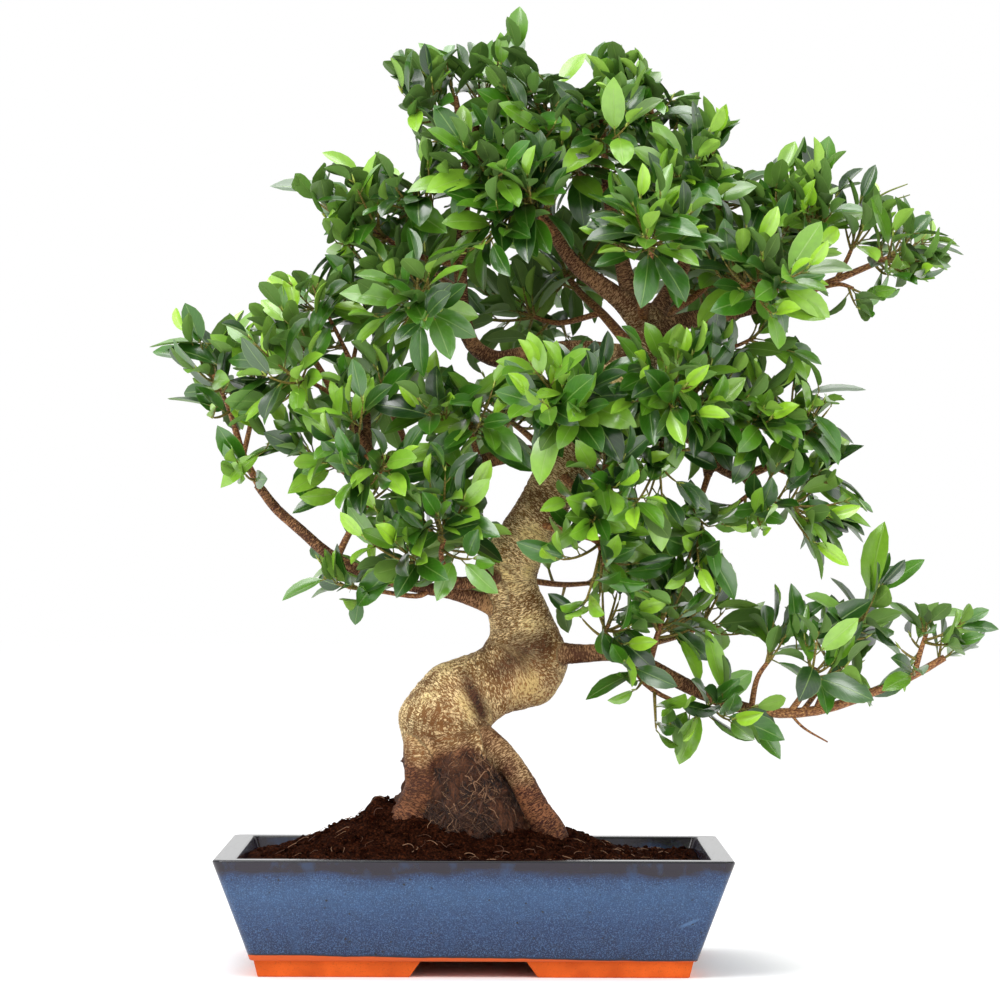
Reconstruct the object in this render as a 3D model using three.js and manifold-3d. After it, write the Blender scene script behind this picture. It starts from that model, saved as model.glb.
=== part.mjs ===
import * as THREE from 'three';
import Module from 'manifold-3d';
import { mergeVertices } from 'three/addons/utils/BufferGeometryUtils.js';

// Chinese banyan grown as a bonsai in a rectangular glazed pot.
// Millimetres, +Z up, -Y is the front of the tree. Every place below is measured from the
// middle of the pot's foot plane, and the finished group is moved so that the middle of its box
// stands on the origin.

// Clearance between two pieces that touch.
const gap = 0.35;

// Pot: body, rim, feet and drain holes.
const rimWidth = 460;
const rimDepth = 350;
const bodyTaper = 31;
const potHeight = 106;
const footHeight = 14.6;
const lipWidth = 20;
const floorTop = 25;
const innerTaper = 23;
const cornerRadius = 9;
const footLength = 149;
const footSide = 96;
const footThick = 24;
const footSlant = 11;
const footInset = 4;
const drainRadius = 11;
const drainSpread = 92;

// Mesh screens that lie over the drain holes.
const screenSize = 40;
const screenThick = 1.5;
const screenBar = 4;
const screenHoles = 2;

// Soil surface: the level at the wall, and two swells beside the trunk.
const soilEdge = 95;
const soilSwells = [
  { x: -72, y: -6, rise: 45, spreadX: 88, spreadY: 96 },
  { x: 74, y: 6, rise: 30, spreadX: 80, spreadY: 90 },
];
const soilGrain = 1.6;
const soilColumns = 9;
const soilRows = 6;

// Leaves: the blade is a flat triangle in section. It is widest a little before its middle, and
// nearly as wide at its shoulder. Widths there are shares of the leaf's width.
const leafLength = 49;
const leafSlender = 2.1;
const bladeThick = 1.3;
const bladeWidest = { at: 0.42, half: 0.47 };
const bladeShoulder = { at: 0.74, half: 0.43 };
const petioleFoot = 1.8;
const leafGap = 10.5;
const leafyLength = 80;
const turnPerLeaf = THREE.MathUtils.degToRad(137.5);
const crownMiddle = new THREE.Vector3(70, 10, 520);

// How much of the foliage the solids carry.
const shootShare = 0.57;
const leafOrders = [0, 1, 3];
const shootThick = 1.7;
const shootFoot = 3.2;
const shootSpacing = 7;
const shootSag = 0.14;
const shootTaper = 0.45;

// Trunk, from its plug in the soil to the crown: the left edge and the right edge of each ring
// as seen from the front, the half depth as a share of the half width, and how far the ring's
// middle lies behind the pot's middle.
const trunkRings = [
  { left: [-56, 62], right: [58, 62], deep: 0.85, back: 2 },
  { left: [-66, 112], right: [66, 112], deep: 0.82, back: 2 },
  { left: [-66, 136], right: [62, 134], deep: 0.74, back: 4 },
  { left: [-62, 154], right: [52, 149], deep: 0.7, back: 5 },
  { left: [-60, 168], right: [45, 168], deep: 0.7, back: 4 },
  { left: [-64, 186], right: [34, 186], deep: 0.76, back: 1 },
  { left: [-66, 202], right: [26, 200], deep: 0.82, back: -3 },
  { left: [-70, 219], right: [15, 214], deep: 0.86, back: -7 },
  { left: [-67, 237], right: [17, 220], deep: 0.88, back: -9 },
  { left: [-40, 270], right: [30, 229], deep: 0.92, back: -5 },
  { left: [-14, 280], right: [42, 232], deep: 0.94, back: -1 },
  { left: [4, 287], right: [55, 235], deep: 0.96, back: 3 },
  { left: [10, 295], right: [68, 240], deep: 0.95, back: 6 },
  { left: [13, 302], right: [80, 257], deep: 0.94, back: 8 },
  { left: [13, 308], right: [86, 276], deep: 0.94, back: 8 },
  { left: [12, 314], right: [79, 301], deep: 0.94, back: 7 },
  { left: [7, 346], right: [57, 345], deep: 0.95, back: 3 },
  { left: [6, 368], right: [59, 363], deep: 0.95, back: 2 },
  { left: [14, 386], right: [67, 380], deep: 0.94, back: 2 },
  { left: [26, 404], right: [76, 398], deep: 0.94, back: 3 },
  { left: [38, 422], right: [86, 415], deep: 0.94, back: 4 },
  { left: [50, 446], right: [97, 434], deep: 0.94, back: 5 },
  { left: [64, 470], right: [111, 455], deep: 0.94, back: 6 },
  { left: [78, 493], right: [128, 476], deep: 0.92, back: 8 },
  { left: [91, 516], right: [147, 499], deep: 0.88, back: 9 },
  { left: [106, 538], right: [157, 523], deep: 0.88, back: 9 },
  { left: [136, 572], right: [172, 566], deep: 0.9, back: 6 },
  { left: [144, 588], right: [171, 588], deep: 0.9, back: 5 },
  { left: [139, 602], right: [161, 606], deep: 0.9, back: 3 },
];
const trunkSides = 10;

// A limb this thick where it leaves the trunk has five sides, a thinner one four.
const thickLimb = 9.5;

// Roots and woody limbs that are one piece with the trunk: [x, y, z, radius] along each.
const limbs = {
  rootRight: [
    [6, -24, 212, 10], [21, -30, 197, 11.5], [34, -34, 182, 11.5], [44, -36, 167, 11.5],
    [51, -37, 153, 12], [59, -36, 139, 13], [70, -35, 122, 14], [80, -32, 100, 12],
  ],
  rootLeft: [
    [-46, -16, 214, 18], [-48, -22, 196, 18], [-49, -28, 180, 16], [-48, -32, 164, 15.5],
    [-53, -35, 147, 17], [-62, -37, 128, 19], [-72, -38, 104, 15],
  ],
  rootBackLeft: [
    [-30, 18, 205, 15], [-42, 32, 178, 14], [-54, 44, 150, 15], [-68, 54, 124, 15], [-80, 60, 100, 11],
  ],
  rootBackRight: [
    [8, 16, 205, 13], [24, 32, 180, 13], [40, 46, 152, 13], [56, 56, 124, 13], [68, 62, 100, 10],
  ],
  rootFront: [[-12, -34, 172, 6], [-9, -46, 152, 7], [-6, -52, 132, 8.5], [-8, -58, 106, 8]],
  lowLeft: [
    [24, -2, 323, 11], [6, -5, 331, 8.4], [-20, -7, 339, 6.8], [-50, -9, 344, 6.2], [-80, -10, 351, 5.9],
    [-110, -8, 361, 5.7], [-137, -6, 376, 5.6], [-160, -4, 396, 5.3], [-182, -2, 415, 5], [-200, 0, 438, 4.6],
  ],
  frontLeft: [[27, -10, 356, 9], [8, -20, 352, 7], [-10, -28, 348, 6.2], [-25, -36, 350, 6]],
  midLeft: [
    [78, 0, 456, 12], [58, -5, 464, 9], [41, -10, 467, 8], [22, -15, 463, 7.5], [-6, -22, 456, 7],
    [-36, -28, 455, 6.5], [-71, -32, 456, 6], [-95, -34, 465, 5.7], [-108, -36, 484, 5.2],
    [-116, -38, 502, 4.8],
  ],
  midLeftFork: [[-98, -34, 467, 4.6], [-99, -28, 490, 4.3], [-100, -24, 506, 4]],
  highLeft: [
    [128, 5, 556, 12], [100, 0, 561, 10], [68, -5, 560, 9], [41, -8, 556, 8.5], [18, -10, 553, 8],
    [-3, -8, 566, 7.5], [-12, -5, 593, 7], [-14, 0, 621, 6.5], [-14, 2, 653, 6], [-11, 2, 690, 5.5],
    [-9, 0, 732, 5],
  ],
  lowRight: [
    [52, -4, 284, 16], [78, -11, 284, 11], [100, -14, 284, 8.6], [125, -16, 285, 8.2], [148, -18, 277, 8],
    [172, -20, 266, 7.5], [200, -20, 252, 6.8], [228, -18, 240, 6.2], [250, -16, 234, 5.6],
  ],
  midRight: [
    [122, 8, 512, 14], [160, 14, 502, 9], [187, 18, 489, 8.5], [206, 20, 479, 8], [219, 20, 462, 7.5],
    [238, 22, 450, 7], [254, 24, 449, 6.2],
  ],
  midRightStub: [[208, 20, 478, 6], [212, 19, 462, 5.2], [214, 18, 445, 4.6]],
  highRight: [
    [150, 2, 572, 13], [183, 5, 586, 9], [206, 8, 592, 8], [228, 10, 595, 7], [256, 10, 602, 6],
    [284, 8, 610, 5.4], [306, 5, 617, 4.8],
  ],
  highRightStub: [[292, 10, 612, 4], [301, 12, 601, 3.2], [311, 12, 590, 2.6]],
  crownLeft: [
    [150, 2, 590, 13], [134, -5, 606, 10], [114, -8, 621, 8.5], [94, -10, 636, 7.5], [77, -10, 658, 6.5],
    [64, -8, 685, 5.5], [55, -6, 712, 4.8],
  ],
  crownMiddle: [
    [146, 8, 598, 11], [138, 14, 626, 8.4], [131, 18, 658, 7], [123, 18, 694, 6], [119, 15, 726, 5.2],
  ],
  crownRight: [
    [158, 8, 584, 11], [174, 15, 611, 8], [190, 20, 639, 7], [200, 22, 667, 6], [198, 22, 694, 5.2],
    [192, 21, 716, 4.6],
  ],
};

// Foliage: each spray is a branchlet with its stems, and with shoots that end at the tips.
// The first stem starts inside the limb that bears it, and the others start on an earlier stem.
const sprays = {
  left_end: {
    stems: [
      [[-198, 0, 436, 3.6], [-213, 2, 464, 3.4], [-221, 3, 490, 3]],
      [[-221, 3, 490, 2.6], [-228, -8, 512, 2.2], [-240, -12, 538, 1.8]],
      [[-213, 2, 464, 2.6], [-205, -4, 500, 2.2], [-203, -6, 530, 1.8]],
    ],
    tips: [
      [-264, -12, 574], [-262, -30, 520], [-222, -14, 562], [-242, 18, 556], [-206, -24, 556],
      [-240, -26, 498],
      [-190, 24, 548], [-214, 34, 530], [-216, -26, 456], [-232, 26, 520],
    ],
  },
  left_inner: {
    stems: [
      [[-126, -6, 372, 3.4], [-114, -10, 396, 3], [-98, -14, 420, 2.4]],
      [[-98, -14, 420, 1.9], [-120, -22, 448, 1.7], [-150, -28, 464, 1.5]],
    ],
    tips: [
      [-196, -28, 486], [-130, -24, 428], [-152, -40, 470], [-84, -6, 448], [-168, -12, 488], [-112, 8, 440],
    ],
  },
  left_low: {
    stems: [[[-40, -9, 342, 2.6], [-54, -16, 336, 2.4], [-85, -20, 340, 2], [-116, -22, 344, 1.8]]],
    tips: [[-138, -24, 353], [-104, -34, 333], [-126, 4, 350], [-92, -8, 362]],
  },
  front_left: {
    stems: [
      [[-22, -35, 350, 4], [-38, -43, 361, 3.6], [-50, -50, 376, 3]],
      [[-22, -35, 350, 3], [-31, -50, 374, 2.4], [-24, -60, 400, 2]],
    ],
    tips: [
      [-17, -70, 458], [-88, -76, 412], [-40, -86, 434], [-4, -76, 424], [-66, -66, 438], [-98, -84, 388],
      [-48, -92, 404], [-2, -52, 396], [-70, -92, 384],
    ],
  },
  mid_left_end: {
    stems: [
      [[-114, -38, 498, 3.6], [-128, -40, 518, 3.4], [-138, -42, 536, 3], [-150, -44, 556, 2.4]],
      [[-128, -40, 518, 2.4], [-146, -54, 528, 2], [-162, -64, 534, 1.6]],
    ],
    tips: [
      [-162, -56, 590], [-180, -72, 546], [-182, -50, 568], [-146, -38, 588], [-172, -66, 514],
      [-160, -88, 528],
      [-150, -72, 552],
    ],
  },
  mid_left_fork: {
    stems: [
      [[-100, -25, 502, 3.3], [-105, -22, 526, 3], [-113, -18, 546, 2.6], [-120, -16, 562, 2.2]],
      [[-120, -16, 562, 2], [-130, -20, 582, 1.8], [-140, -24, 600, 1.6]],
      [[-113, -18, 546, 2.2], [-108, -8, 574, 1.8], [-107, -6, 592, 1.5]],
    ],
    tips: [
      [-154, -28, 622], [-114, -8, 624], [-168, -12, 608], [-98, 10, 610], [-130, 10, 606], [-164, 14, 582],
      [-138, 22, 570],
    ],
  },
  mid_left_front: {
    stems: [
      [[-88, -34, 462, 3.2], [-102, -60, 466, 2.8], [-112, -82, 474, 2.3]],
      [[-102, -60, 466, 2.3], [-90, -82, 456, 2], [-84, -96, 446, 1.6]],
    ],
    tips: [
      [-146, -92, 496], [-72, -112, 452], [-126, -106, 478], [-148, -72, 506], [-96, -112, 434],
      [-60, -92, 436],
      [-112, -100, 508], [-134, -84, 456],
    ],
  },
  mid_left_rise: {
    stems: [
      [[-62, -30, 456, 3.2], [-66, -14, 480, 2.8], [-72, 6, 498, 2.4]],
      [[-66, -14, 480, 2.4], [-76, -30, 500, 2], [-80, -42, 512, 1.7]],
      [[-72, 6, 498, 2.2], [-80, 50, 510, 2], [-88, 88, 520, 1.7]],
    ],
    tips: [
      [-82, -52, 534], [-98, 120, 540], [-112, 96, 524], [-60, -28, 526], [-70, 110, 552], [-94, -60, 514],
      [-60, 60, 530], [-90, 56, 548], [-72, 128, 512],
    ],
  },
  mid_left_root: {
    stems: [
      [[4, -20, 458, 3.2], [-3, -34, 480, 2.8], [-5, -46, 498, 2.2]],
      [[-3, -34, 480, 2.2], [-20, -44, 492, 1.9], [-32, -50, 500, 1.6]],
    ],
    tips: [
      [10, -56, 520], [-34, -60, 524], [30, -58, 510], [-8, -70, 528], [-50, -62, 504], [-26, -78, 506],
      [14, -76, 496],
    ],
  },
  high_left_side: {
    stems: [
      [[-10, -7, 582, 3.6], [-30, -14, 596, 3], [-52, -18, 614, 2.4]],
      [[-30, -14, 596, 2.6], [-46, -46, 600, 2.2], [-58, -70, 604, 1.8]],
    ],
    tips: [
      [-122, -20, 660], [-72, -96, 622], [-94, -46, 592], [-90, -34, 638], [-42, -104, 624], [-88, -76, 588],
      [-66, -30, 640], [-60, -98, 594], [-112, -26, 616],
    ],
  },
  high_left_out: {
    stems: [
      [[-14, 0, 640, 3.4], [-42, 5, 644, 3], [-72, 8, 657, 2.5], [-96, 7, 674, 2]],
    ],
    tips: [
      [-164, 2, 712], [-138, -14, 682], [-116, 26, 690], [-90, -12, 692], [-60, 24, 676], [-84, 34, 660],
    ],
  },
  high_left_upper: {
    stems: [
      [[-12, 1, 672, 3.2], [-38, 2, 684, 2.8], [-66, 8, 700, 2.3]],
    ],
    tips: [
      [-112, 18, 724], [-92, 32, 716], [-60, -24, 716], [-44, -36, 728], [-80, -34, 694], [-76, 44, 702],
      [-40, 30, 718],
    ],
  },
  high_left_back: {
    stems: [[[-13, 0, 615, 3.4], [-30, 40, 628, 2.9], [-50, 82, 642, 2.3]]],
    tips: [
      [-86, 108, 662], [-44, 130, 668], [-104, 88, 642], [-66, 126, 632], [-54, 96, 690], [-30, 100, 640],
      [-80, 66, 616],
    ],
  },
  high_left_top: {
    stems: [
      [[-9, 0, 728, 4], [-14, 0, 762, 3.6], [-20, 0, 794, 2.6]],
      [[-9, 0, 728, 3.6], [-1, 5, 765, 3.2], [4, 7, 796, 2.8]],
      [[-14, 0, 762, 2.4], [-30, -6, 768, 2], [-42, -8, 778, 1.7]],
    ],
    tips: [
      [-66, -12, 812], [-28, 0, 826], [22, -4, 832], [-50, 6, 790], [-12, 16, 812], [-56, -30, 768],
      [12, 22, 816], [-36, 14, 802], [-44, 24, 754],
    ],
  },
  high_left_front: {
    stems: [[[-10, 1, 702, 3], [2, -22, 720, 2.5], [10, -40, 734, 2]]],
    tips: [[14, -56, 762], [-30, -44, 752], [26, -66, 744], [-8, -68, 740], [-24, -60, 716], [6, -80, 722]],
  },
  crown_left_top: {
    stems: [
      [[56, -6, 708, 4], [47, -4, 745, 3.2], [40, -2, 782, 2.4]],
      [[47, -4, 745, 2.4], [60, -6, 766, 2], [66, -8, 782, 1.6]],
    ],
    tips: [
      [36, 0, 846], [88, -2, 812], [26, -44, 796], [48, -42, 798], [62, -14, 802], [22, -22, 818],
      [50, 18, 818], [74, 22, 792], [32, 28, 800], [42, -64, 774],
    ],
  },
  crown_left_front: {
    stems: [
      [[72, -10, 666, 3.4], [57, -30, 682, 2.8], [46, -50, 698, 2.2]],
      [[57, -30, 682, 2.2], [34, -38, 680, 1.9], [14, -44, 684, 1.6]],
    ],
    tips: [
      [36, -74, 730], [62, -80, 724], [2, -52, 696], [24, -70, 706], [48, -98, 702], [-2, -40, 668],
      [28, -72, 668], [14, -28, 706], [70, -92, 690],
    ],
  },
  crown_left_back: {
    stems: [[[60, -7, 698, 3.2], [48, 32, 714, 2.7], [38, 66, 732, 2.1]]],
    tips: [[28, 92, 758], [58, 92, 752], [8, 80, 738], [40, 116, 728], [24, 50, 770], [66, 64, 772]],
  },
  crown_middle_top: {
    stems: [
      [[119, 15, 722, 4], [116, 12, 762, 3], [113, 10, 792, 2.3]],
      [[118, 14, 738, 2.6], [112, -12, 752, 2.2], [107, -30, 762, 1.8]],
    ],
    tips: [
      [112, 8, 826], [130, 0, 812], [98, -48, 782], [122, -52, 774], [98, 18, 806], [120, 34, 806],
      [88, -42, 762], [108, -68, 752], [136, -22, 780],
    ],
  },
  crown_middle_left: {
    stems: [[[121, 17, 708, 3], [100, 4, 720, 2.6], [84, -6, 732, 2]]],
    tips: [[66, -14, 748], [86, -34, 752], [80, 18, 762], [58, -20, 726], [96, -40, 730], [94, 36, 748]],
  },
  crown_middle_back: {
    stems: [[[121, 17, 714, 3.2], [112, 52, 734, 2.6], [104, 84, 750, 2]]],
    tips: [[96, 106, 778], [120, 112, 770], [80, 98, 758], [104, 136, 746], [134, 84, 758], [100, 66, 786]],
  },
  crown_right_top: {
    stems: [
      [[193, 21, 712, 4], [184, 20, 738, 3], [174, 16, 764, 2.2]],
      [[184, 20, 738, 2.6], [168, 8, 764, 2.2], [158, 0, 786, 1.8]],
    ],
    tips: [
      [178, 10, 792], [154, -6, 808], [142, -16, 790], [190, 18, 786], [168, 6, 806], [152, 26, 796],
      [170, 40, 778], [148, -30, 768],
    ],
  },
  crown_right_out: {
    stems: [[[196, 22, 702, 3], [205, 18, 724, 2.6], [210, 14, 740, 2]]],
    tips: [[202, 6, 770], [226, 10, 758], [210, -14, 748], [216, 34, 744], [232, 0, 740]],
  },
  crown_right_front: {
    stems: [[[199, 22, 684, 3.2], [190, -6, 702, 2.7], [183, -32, 718, 2.2]]],
    tips: [
      [172, -56, 738], [198, -60, 732], [154, -50, 724], [182, -80, 714], [210, -40, 710], [160, -78, 702],
    ],
  },
  crown_right_back: {
    stems: [
      [[200, 22, 664, 3.6], [212, 34, 684, 3], [232, 26, 702, 2.2]],
      [[212, 34, 684, 2.6], [212, 62, 702, 2.2], [210, 90, 718, 1.8]],
    ],
    tips: [
      [242, 22, 722], [206, 116, 742], [256, 10, 704], [228, 40, 728], [230, 106, 732], [188, 108, 730],
      [214, 132, 708], [244, -8, 696], [240, 70, 712],
    ],
  },
  crown_front: {
    stems: [
      [[153, -2, 590, 5], [151, -38, 608, 4.2], [155, -70, 634, 3.4], [160, -96, 660, 2.4]],
    ],
    tips: [
      [164, -122, 694], [140, -128, 684], [190, -118, 678], [148, -142, 656], [178, -134, 646],
      [126, -104, 652],
      [128, -84, 690], [170, -92, 706],
    ],
  },
  high_right_end: {
    stems: [
      [[303, 5, 616, 3.8], [330, 0, 627, 3.4], [361, -5, 640, 2.8], [384, -8, 650, 2.2]],
      [[330, 0, 627, 2.4], [340, 4, 646, 2], [347, 6, 662, 1.7]],
      [[316, 3, 620, 2.4], [332, -14, 622, 2], [344, -20, 618, 1.6]],
    ],
    tips: [
      [408, -8, 664], [352, 6, 698], [424, -2, 652], [362, -24, 612], [366, -4, 682], [338, 22, 686],
      [386, -26, 648], [346, -36, 600], [404, 18, 646], [352, -22, 672], [392, 6, 672], [374, -34, 630],
    ],
  },
  high_right_rise: {
    stems: [[[298, 6, 614, 3.2], [306, 2, 648, 2.7], [308, 0, 680, 2.1]]],
    tips: [[318, -4, 722], [302, 10, 714], [330, 8, 704], [298, -24, 694], [322, -22, 684], [306, 28, 690]],
  },
  high_right_inner: {
    stems: [[[274, 9, 607, 3.2], [276, 8, 640, 2.7], [279, 10, 674, 2.1]]],
    tips: [
      [282, 12, 726], [266, 22, 718], [262, -14, 694], [290, 26, 708], [250, -12, 680], [274, -30, 672],
      [292, -14, 688], [260, 28, 672],
    ],
  },
  high_right_front: {
    stems: [
      [[210, 8, 592, 4], [222, -26, 606, 3.4], [240, -50, 618, 2.6]],
      [[240, -50, 618, 2.4], [258, -72, 622, 1.9]],
    ],
    tips: [
      [294, -78, 640], [226, -56, 660], [278, -92, 626], [244, -62, 668], [204, -64, 658], [222, -86, 640],
      [256, -102, 642], [272, -66, 604], [238, -92, 612],
    ],
  },
  high_right_back: {
    stems: [
      [[224, 10, 594, 4], [240, 46, 612, 3.2], [256, 80, 632, 2.4]],
    ],
    tips: [
      [310, 88, 648], [238, 106, 668], [298, 112, 640], [262, 100, 678], [214, 104, 654], [268, 134, 650],
      [280, 60, 654], [240, 140, 632],
    ],
  },
  high_right_under: {
    stems: [
      [[186, 6, 586, 3.4], [194, -8, 566, 2.8], [206, -14, 556, 2.2]],
      [[206, -14, 556, 2], [234, -8, 564, 1.8], [256, -4, 574, 1.5]],
    ],
    tips: [
      [280, -8, 566], [212, -30, 540], [264, -18, 588], [236, -24, 548], [196, -44, 546], [224, 4, 546],
      [254, 14, 560],
    ],
  },
  mid_right_end: {
    stems: [
      [[252, 24, 449, 4.4], [272, 26, 458, 3.8], [285, 28, 472, 3], [291, 24, 492, 2.2]],
      [[272, 26, 458, 2.6], [288, 26, 450, 2.2], [302, 26, 454, 1.8]],
    ],
    tips: [
      [318, 10, 514], [328, 26, 468], [292, 12, 538], [304, 22, 488], [276, 2, 516], [312, 44, 500],
      [312, 6, 450], [296, 48, 520], [280, 50, 490],
    ],
  },
  mid_right_low: {
    stems: [
      [[244, 22, 449, 3.6], [256, 4, 434, 3], [274, -4, 424, 2.4], [296, -6, 419, 1.9]],
      [[256, 4, 434, 2.4], [242, -10, 424, 2]],
    ],
    tips: [
      [338, -4, 424], [300, -22, 408], [322, -14, 408], [222, -22, 412], [284, -18, 440], [246, -28, 408],
      [312, 12, 436], [266, -34, 416],
    ],
  },
  mid_right_rise: {
    stems: [[[216, 20, 468, 3.2], [238, 8, 487, 2.7], [254, -2, 504, 2.1]]],
    tips: [
      [272, -14, 526], [256, -34, 530], [280, -22, 500], [240, -22, 518], [262, 12, 536], [248, -40, 494],
    ],
  },
  mid_right_front: {
    stems: [
      [[168, 14, 498, 4], [178, -14, 497, 3.4], [190, -36, 504, 2.6]],
      [[178, -14, 497, 2.6], [168, -44, 474, 2.2], [166, -60, 452, 1.8]],
    ],
    tips: [
      [230, -50, 536], [166, -66, 486], [212, -64, 546], [148, -76, 450], [196, -60, 526], [182, -70, 440],
      [244, -52, 516], [198, -56, 470], [168, -82, 424], [214, -78, 506],
    ],
  },
  mid_right_back: {
    stems: [
      [[152, 14, 506, 4.4], [172, 56, 512, 3.6], [200, 90, 514, 2.6]],
    ],
    tips: [
      [256, 118, 530], [200, 132, 524], [232, 128, 540], [268, 98, 512], [176, 138, 540], [236, 124, 502],
      [188, 132, 492], [150, 118, 506], [226, 96, 558],
    ],
  },
  mid_right_stub: {
    stems: [
      [[214, 18, 448, 3.2], [206, -2, 426, 2.7], [197, -14, 404, 2.2]],
    ],
    tips: [
      [204, -30, 396], [184, -26, 376], [222, -16, 396], [192, -42, 362], [212, 8, 376], [178, -40, 402],
    ],
  },
  centre_left: {
    stems: [[[100, -14, 497, 4.2], [96, -48, 502, 3.4], [90, -78, 512, 2.4]]],
    tips: [
      [78, -108, 538], [102, -116, 528], [62, -90, 524], [92, -124, 500], [58, -100, 498], [112, -92, 540],
      [70, -76, 550],
    ],
  },
  centre_right: {
    stems: [[[140, -10, 529, 4.2], [154, -46, 529, 3.4], [172, -74, 525, 2.4]]],
    tips: [
      [194, -104, 526], [170, -116, 540], [204, -92, 504], [178, -118, 506], [150, -98, 550], [188, -76, 552],
      [142, -96, 512],
    ],
  },
  centre_low: {
    stems: [
      [[80, -14, 446, 4], [92, -38, 434, 3.4], [99, -54, 428, 2.8]],
      [[99, -54, 428, 2.2], [112, -62, 438, 2], [117, -68, 456, 1.7]],
    ],
    tips: [
      [118, -74, 490], [138, -78, 436], [102, -84, 452], [84, -84, 424], [132, -92, 460], [110, -86, 408],
      [96, -72, 476],
    ],
  },
  centre_foot: {
    stems: [
      [[60, -14, 402, 3.6], [86, -38, 394, 3], [110, -52, 386, 2.6], [116, -58, 364, 1.8]],
    ],
    tips: [
      [112, -66, 334], [142, -54, 366], [88, -66, 398], [152, -64, 342], [132, -70, 396], [118, -84, 368],
      [148, -40, 388],
    ],
  },
  root_right_start: {
    stems: [[[115, -15, 289, 3.4], [117, -22, 302, 2.4], [122, -26, 311, 1.8]]],
    tips: [[150, -32, 322], [110, -38, 328], [96, -24, 318], [132, -8, 334], [138, -46, 308]],
  },
  low_right_rise: {
    stems: [
      [[158, -19, 274, 4], [164, -22, 294, 3], [170, -26, 314, 2.2]],
      [[164, -22, 294, 2.6], [190, 18, 300, 2.2], [212, 50, 308, 1.8]],
    ],
    tips: [
      [174, -32, 342], [208, -18, 334], [154, -44, 338], [234, 80, 324], [190, -36, 322], [212, 92, 336],
      [154, -2, 336], [194, 66, 328], [226, 44, 340],
    ],
  },
  low_right_hang: {
    stems: [
      [[142, -17, 278, 3], [155, -26, 257, 2.4], [178, -34, 243, 2.1], [205, -36, 236, 1.9],
      [228, -34, 236, 1.6]],
    ],
    tips: [
      [252, -34, 236], [196, -42, 222], [176, -36, 226], [214, -46, 222], [146, -36, 252], [226, -44, 250],
    ],
  },
  low_right_end: {
    stems: [
      [
        [246, -16, 235, 4.8], [262, -14, 232, 4.8], [285, -12, 230, 4.7], [315, -10, 233, 4.6],
        [345, -8, 242, 4.3],
        [375, -5, 254, 4.1], [402, -2, 265, 3.9], [430, 0, 281, 3.2],
      ],
      [[252, -15, 234, 3], [258, -10, 262, 2.4], [272, -6, 282, 1.8]],
      [[288, -12, 231, 3.2], [302, -16, 252, 2.6], [311, -18, 272, 2]],
      [[300, -12, 233, 2.8], [320, 18, 256, 2.3], [334, 40, 276, 1.8]],
      [[312, -10, 234, 3], [328, -4, 270, 2.6], [345, -2, 302, 2.1]],
      [[402, -2, 266, 3], [408, -4, 288, 2.4], [413, -6, 304, 2]],
    ],
    tips: [
      [368, 0, 348], [442, -10, 312], [284, -4, 318], [414, -8, 324], [350, 58, 300], [300, -30, 298],
      [356, 8, 326], [428, 8, 298], [268, 4, 300], [330, -12, 282], [324, -34, 276], [388, -10, 290],
      [314, 48, 300], [354, 30, 274], [322, -10, 308], [400, 14, 300],
    ],
  },
  back_left: {
    stems: [
      [[146, 6, 560, 6], [118, 50, 596, 4.4], [96, 92, 620, 3.4], [80, 124, 644, 2.4]],
      [[114, 56, 598, 3], [76, 76, 590, 2.5], [44, 92, 600, 2]],
    ],
    tips: [
      [66, 156, 680], [20, 120, 618], [94, 158, 670], [46, 138, 660], [48, 136, 612], [74, 170, 640],
      [108, 140, 642], [10, 96, 594], [66, 116, 586], [112, 110, 690],
    ],
  },
  back_right: {
    stems: [[[158, 10, 580, 5.5], [178, 56, 598, 4.4], [204, 94, 616, 3.4], [226, 124, 636, 2.4]]],
    tips: [
      [246, 154, 668], [220, 164, 664], [270, 134, 656], [206, 152, 634], [238, 168, 628], [180, 120, 640],
      [190, 140, 676], [230, 120, 600],
    ],
  },
  back_middle: {
    stems: [
      [[82, 12, 452, 5], [66, 56, 468, 4], [48, 94, 486, 3], [24, 130, 506, 2.2]],
    ],
    tips: [
      [-14, 160, 534], [22, 172, 540], [48, 154, 532], [0, 158, 504], [34, 170, 502], [-16, 128, 514],
      [60, 128, 550], [70, 140, 500],
    ],
  },
  back_low: {
    stems: [
      [[42, 14, 346, 5], [48, 48, 350, 4.2]],
      [[48, 48, 350, 3.2], [24, 74, 366, 2.6], [2, 94, 386, 2]],
      [[48, 48, 350, 3.2], [82, 70, 346, 2.6], [116, 92, 348, 2]],
    ],
    tips: [
      [-26, 120, 408], [150, 122, 364], [6, 134, 414], [124, 132, 374], [-32, 94, 388], [166, 100, 346],
      [24, 116, 392], [100, 118, 358], [64, 102, 380],
    ],
  },
};

const bark = new THREE.MeshStandardMaterial({ color: 0xa98d63, roughness: 0.85, metalness: 0 });
const leafGreen = new THREE.MeshStandardMaterial({ color: 0x2f5a22, roughness: 0.35, metalness: 0 });
const glaze = new THREE.MeshStandardMaterial({ color: 0x45597f, roughness: 0.2, metalness: 0 });
const earth = new THREE.MeshStandardMaterial({ color: 0x2e1a10, roughness: 1, metalness: 0 });
const meshBlack = new THREE.MeshStandardMaterial({ color: 0x222222, roughness: 0.7, metalness: 0 });

const wasm = await Module();
wasm.setup();

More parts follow.
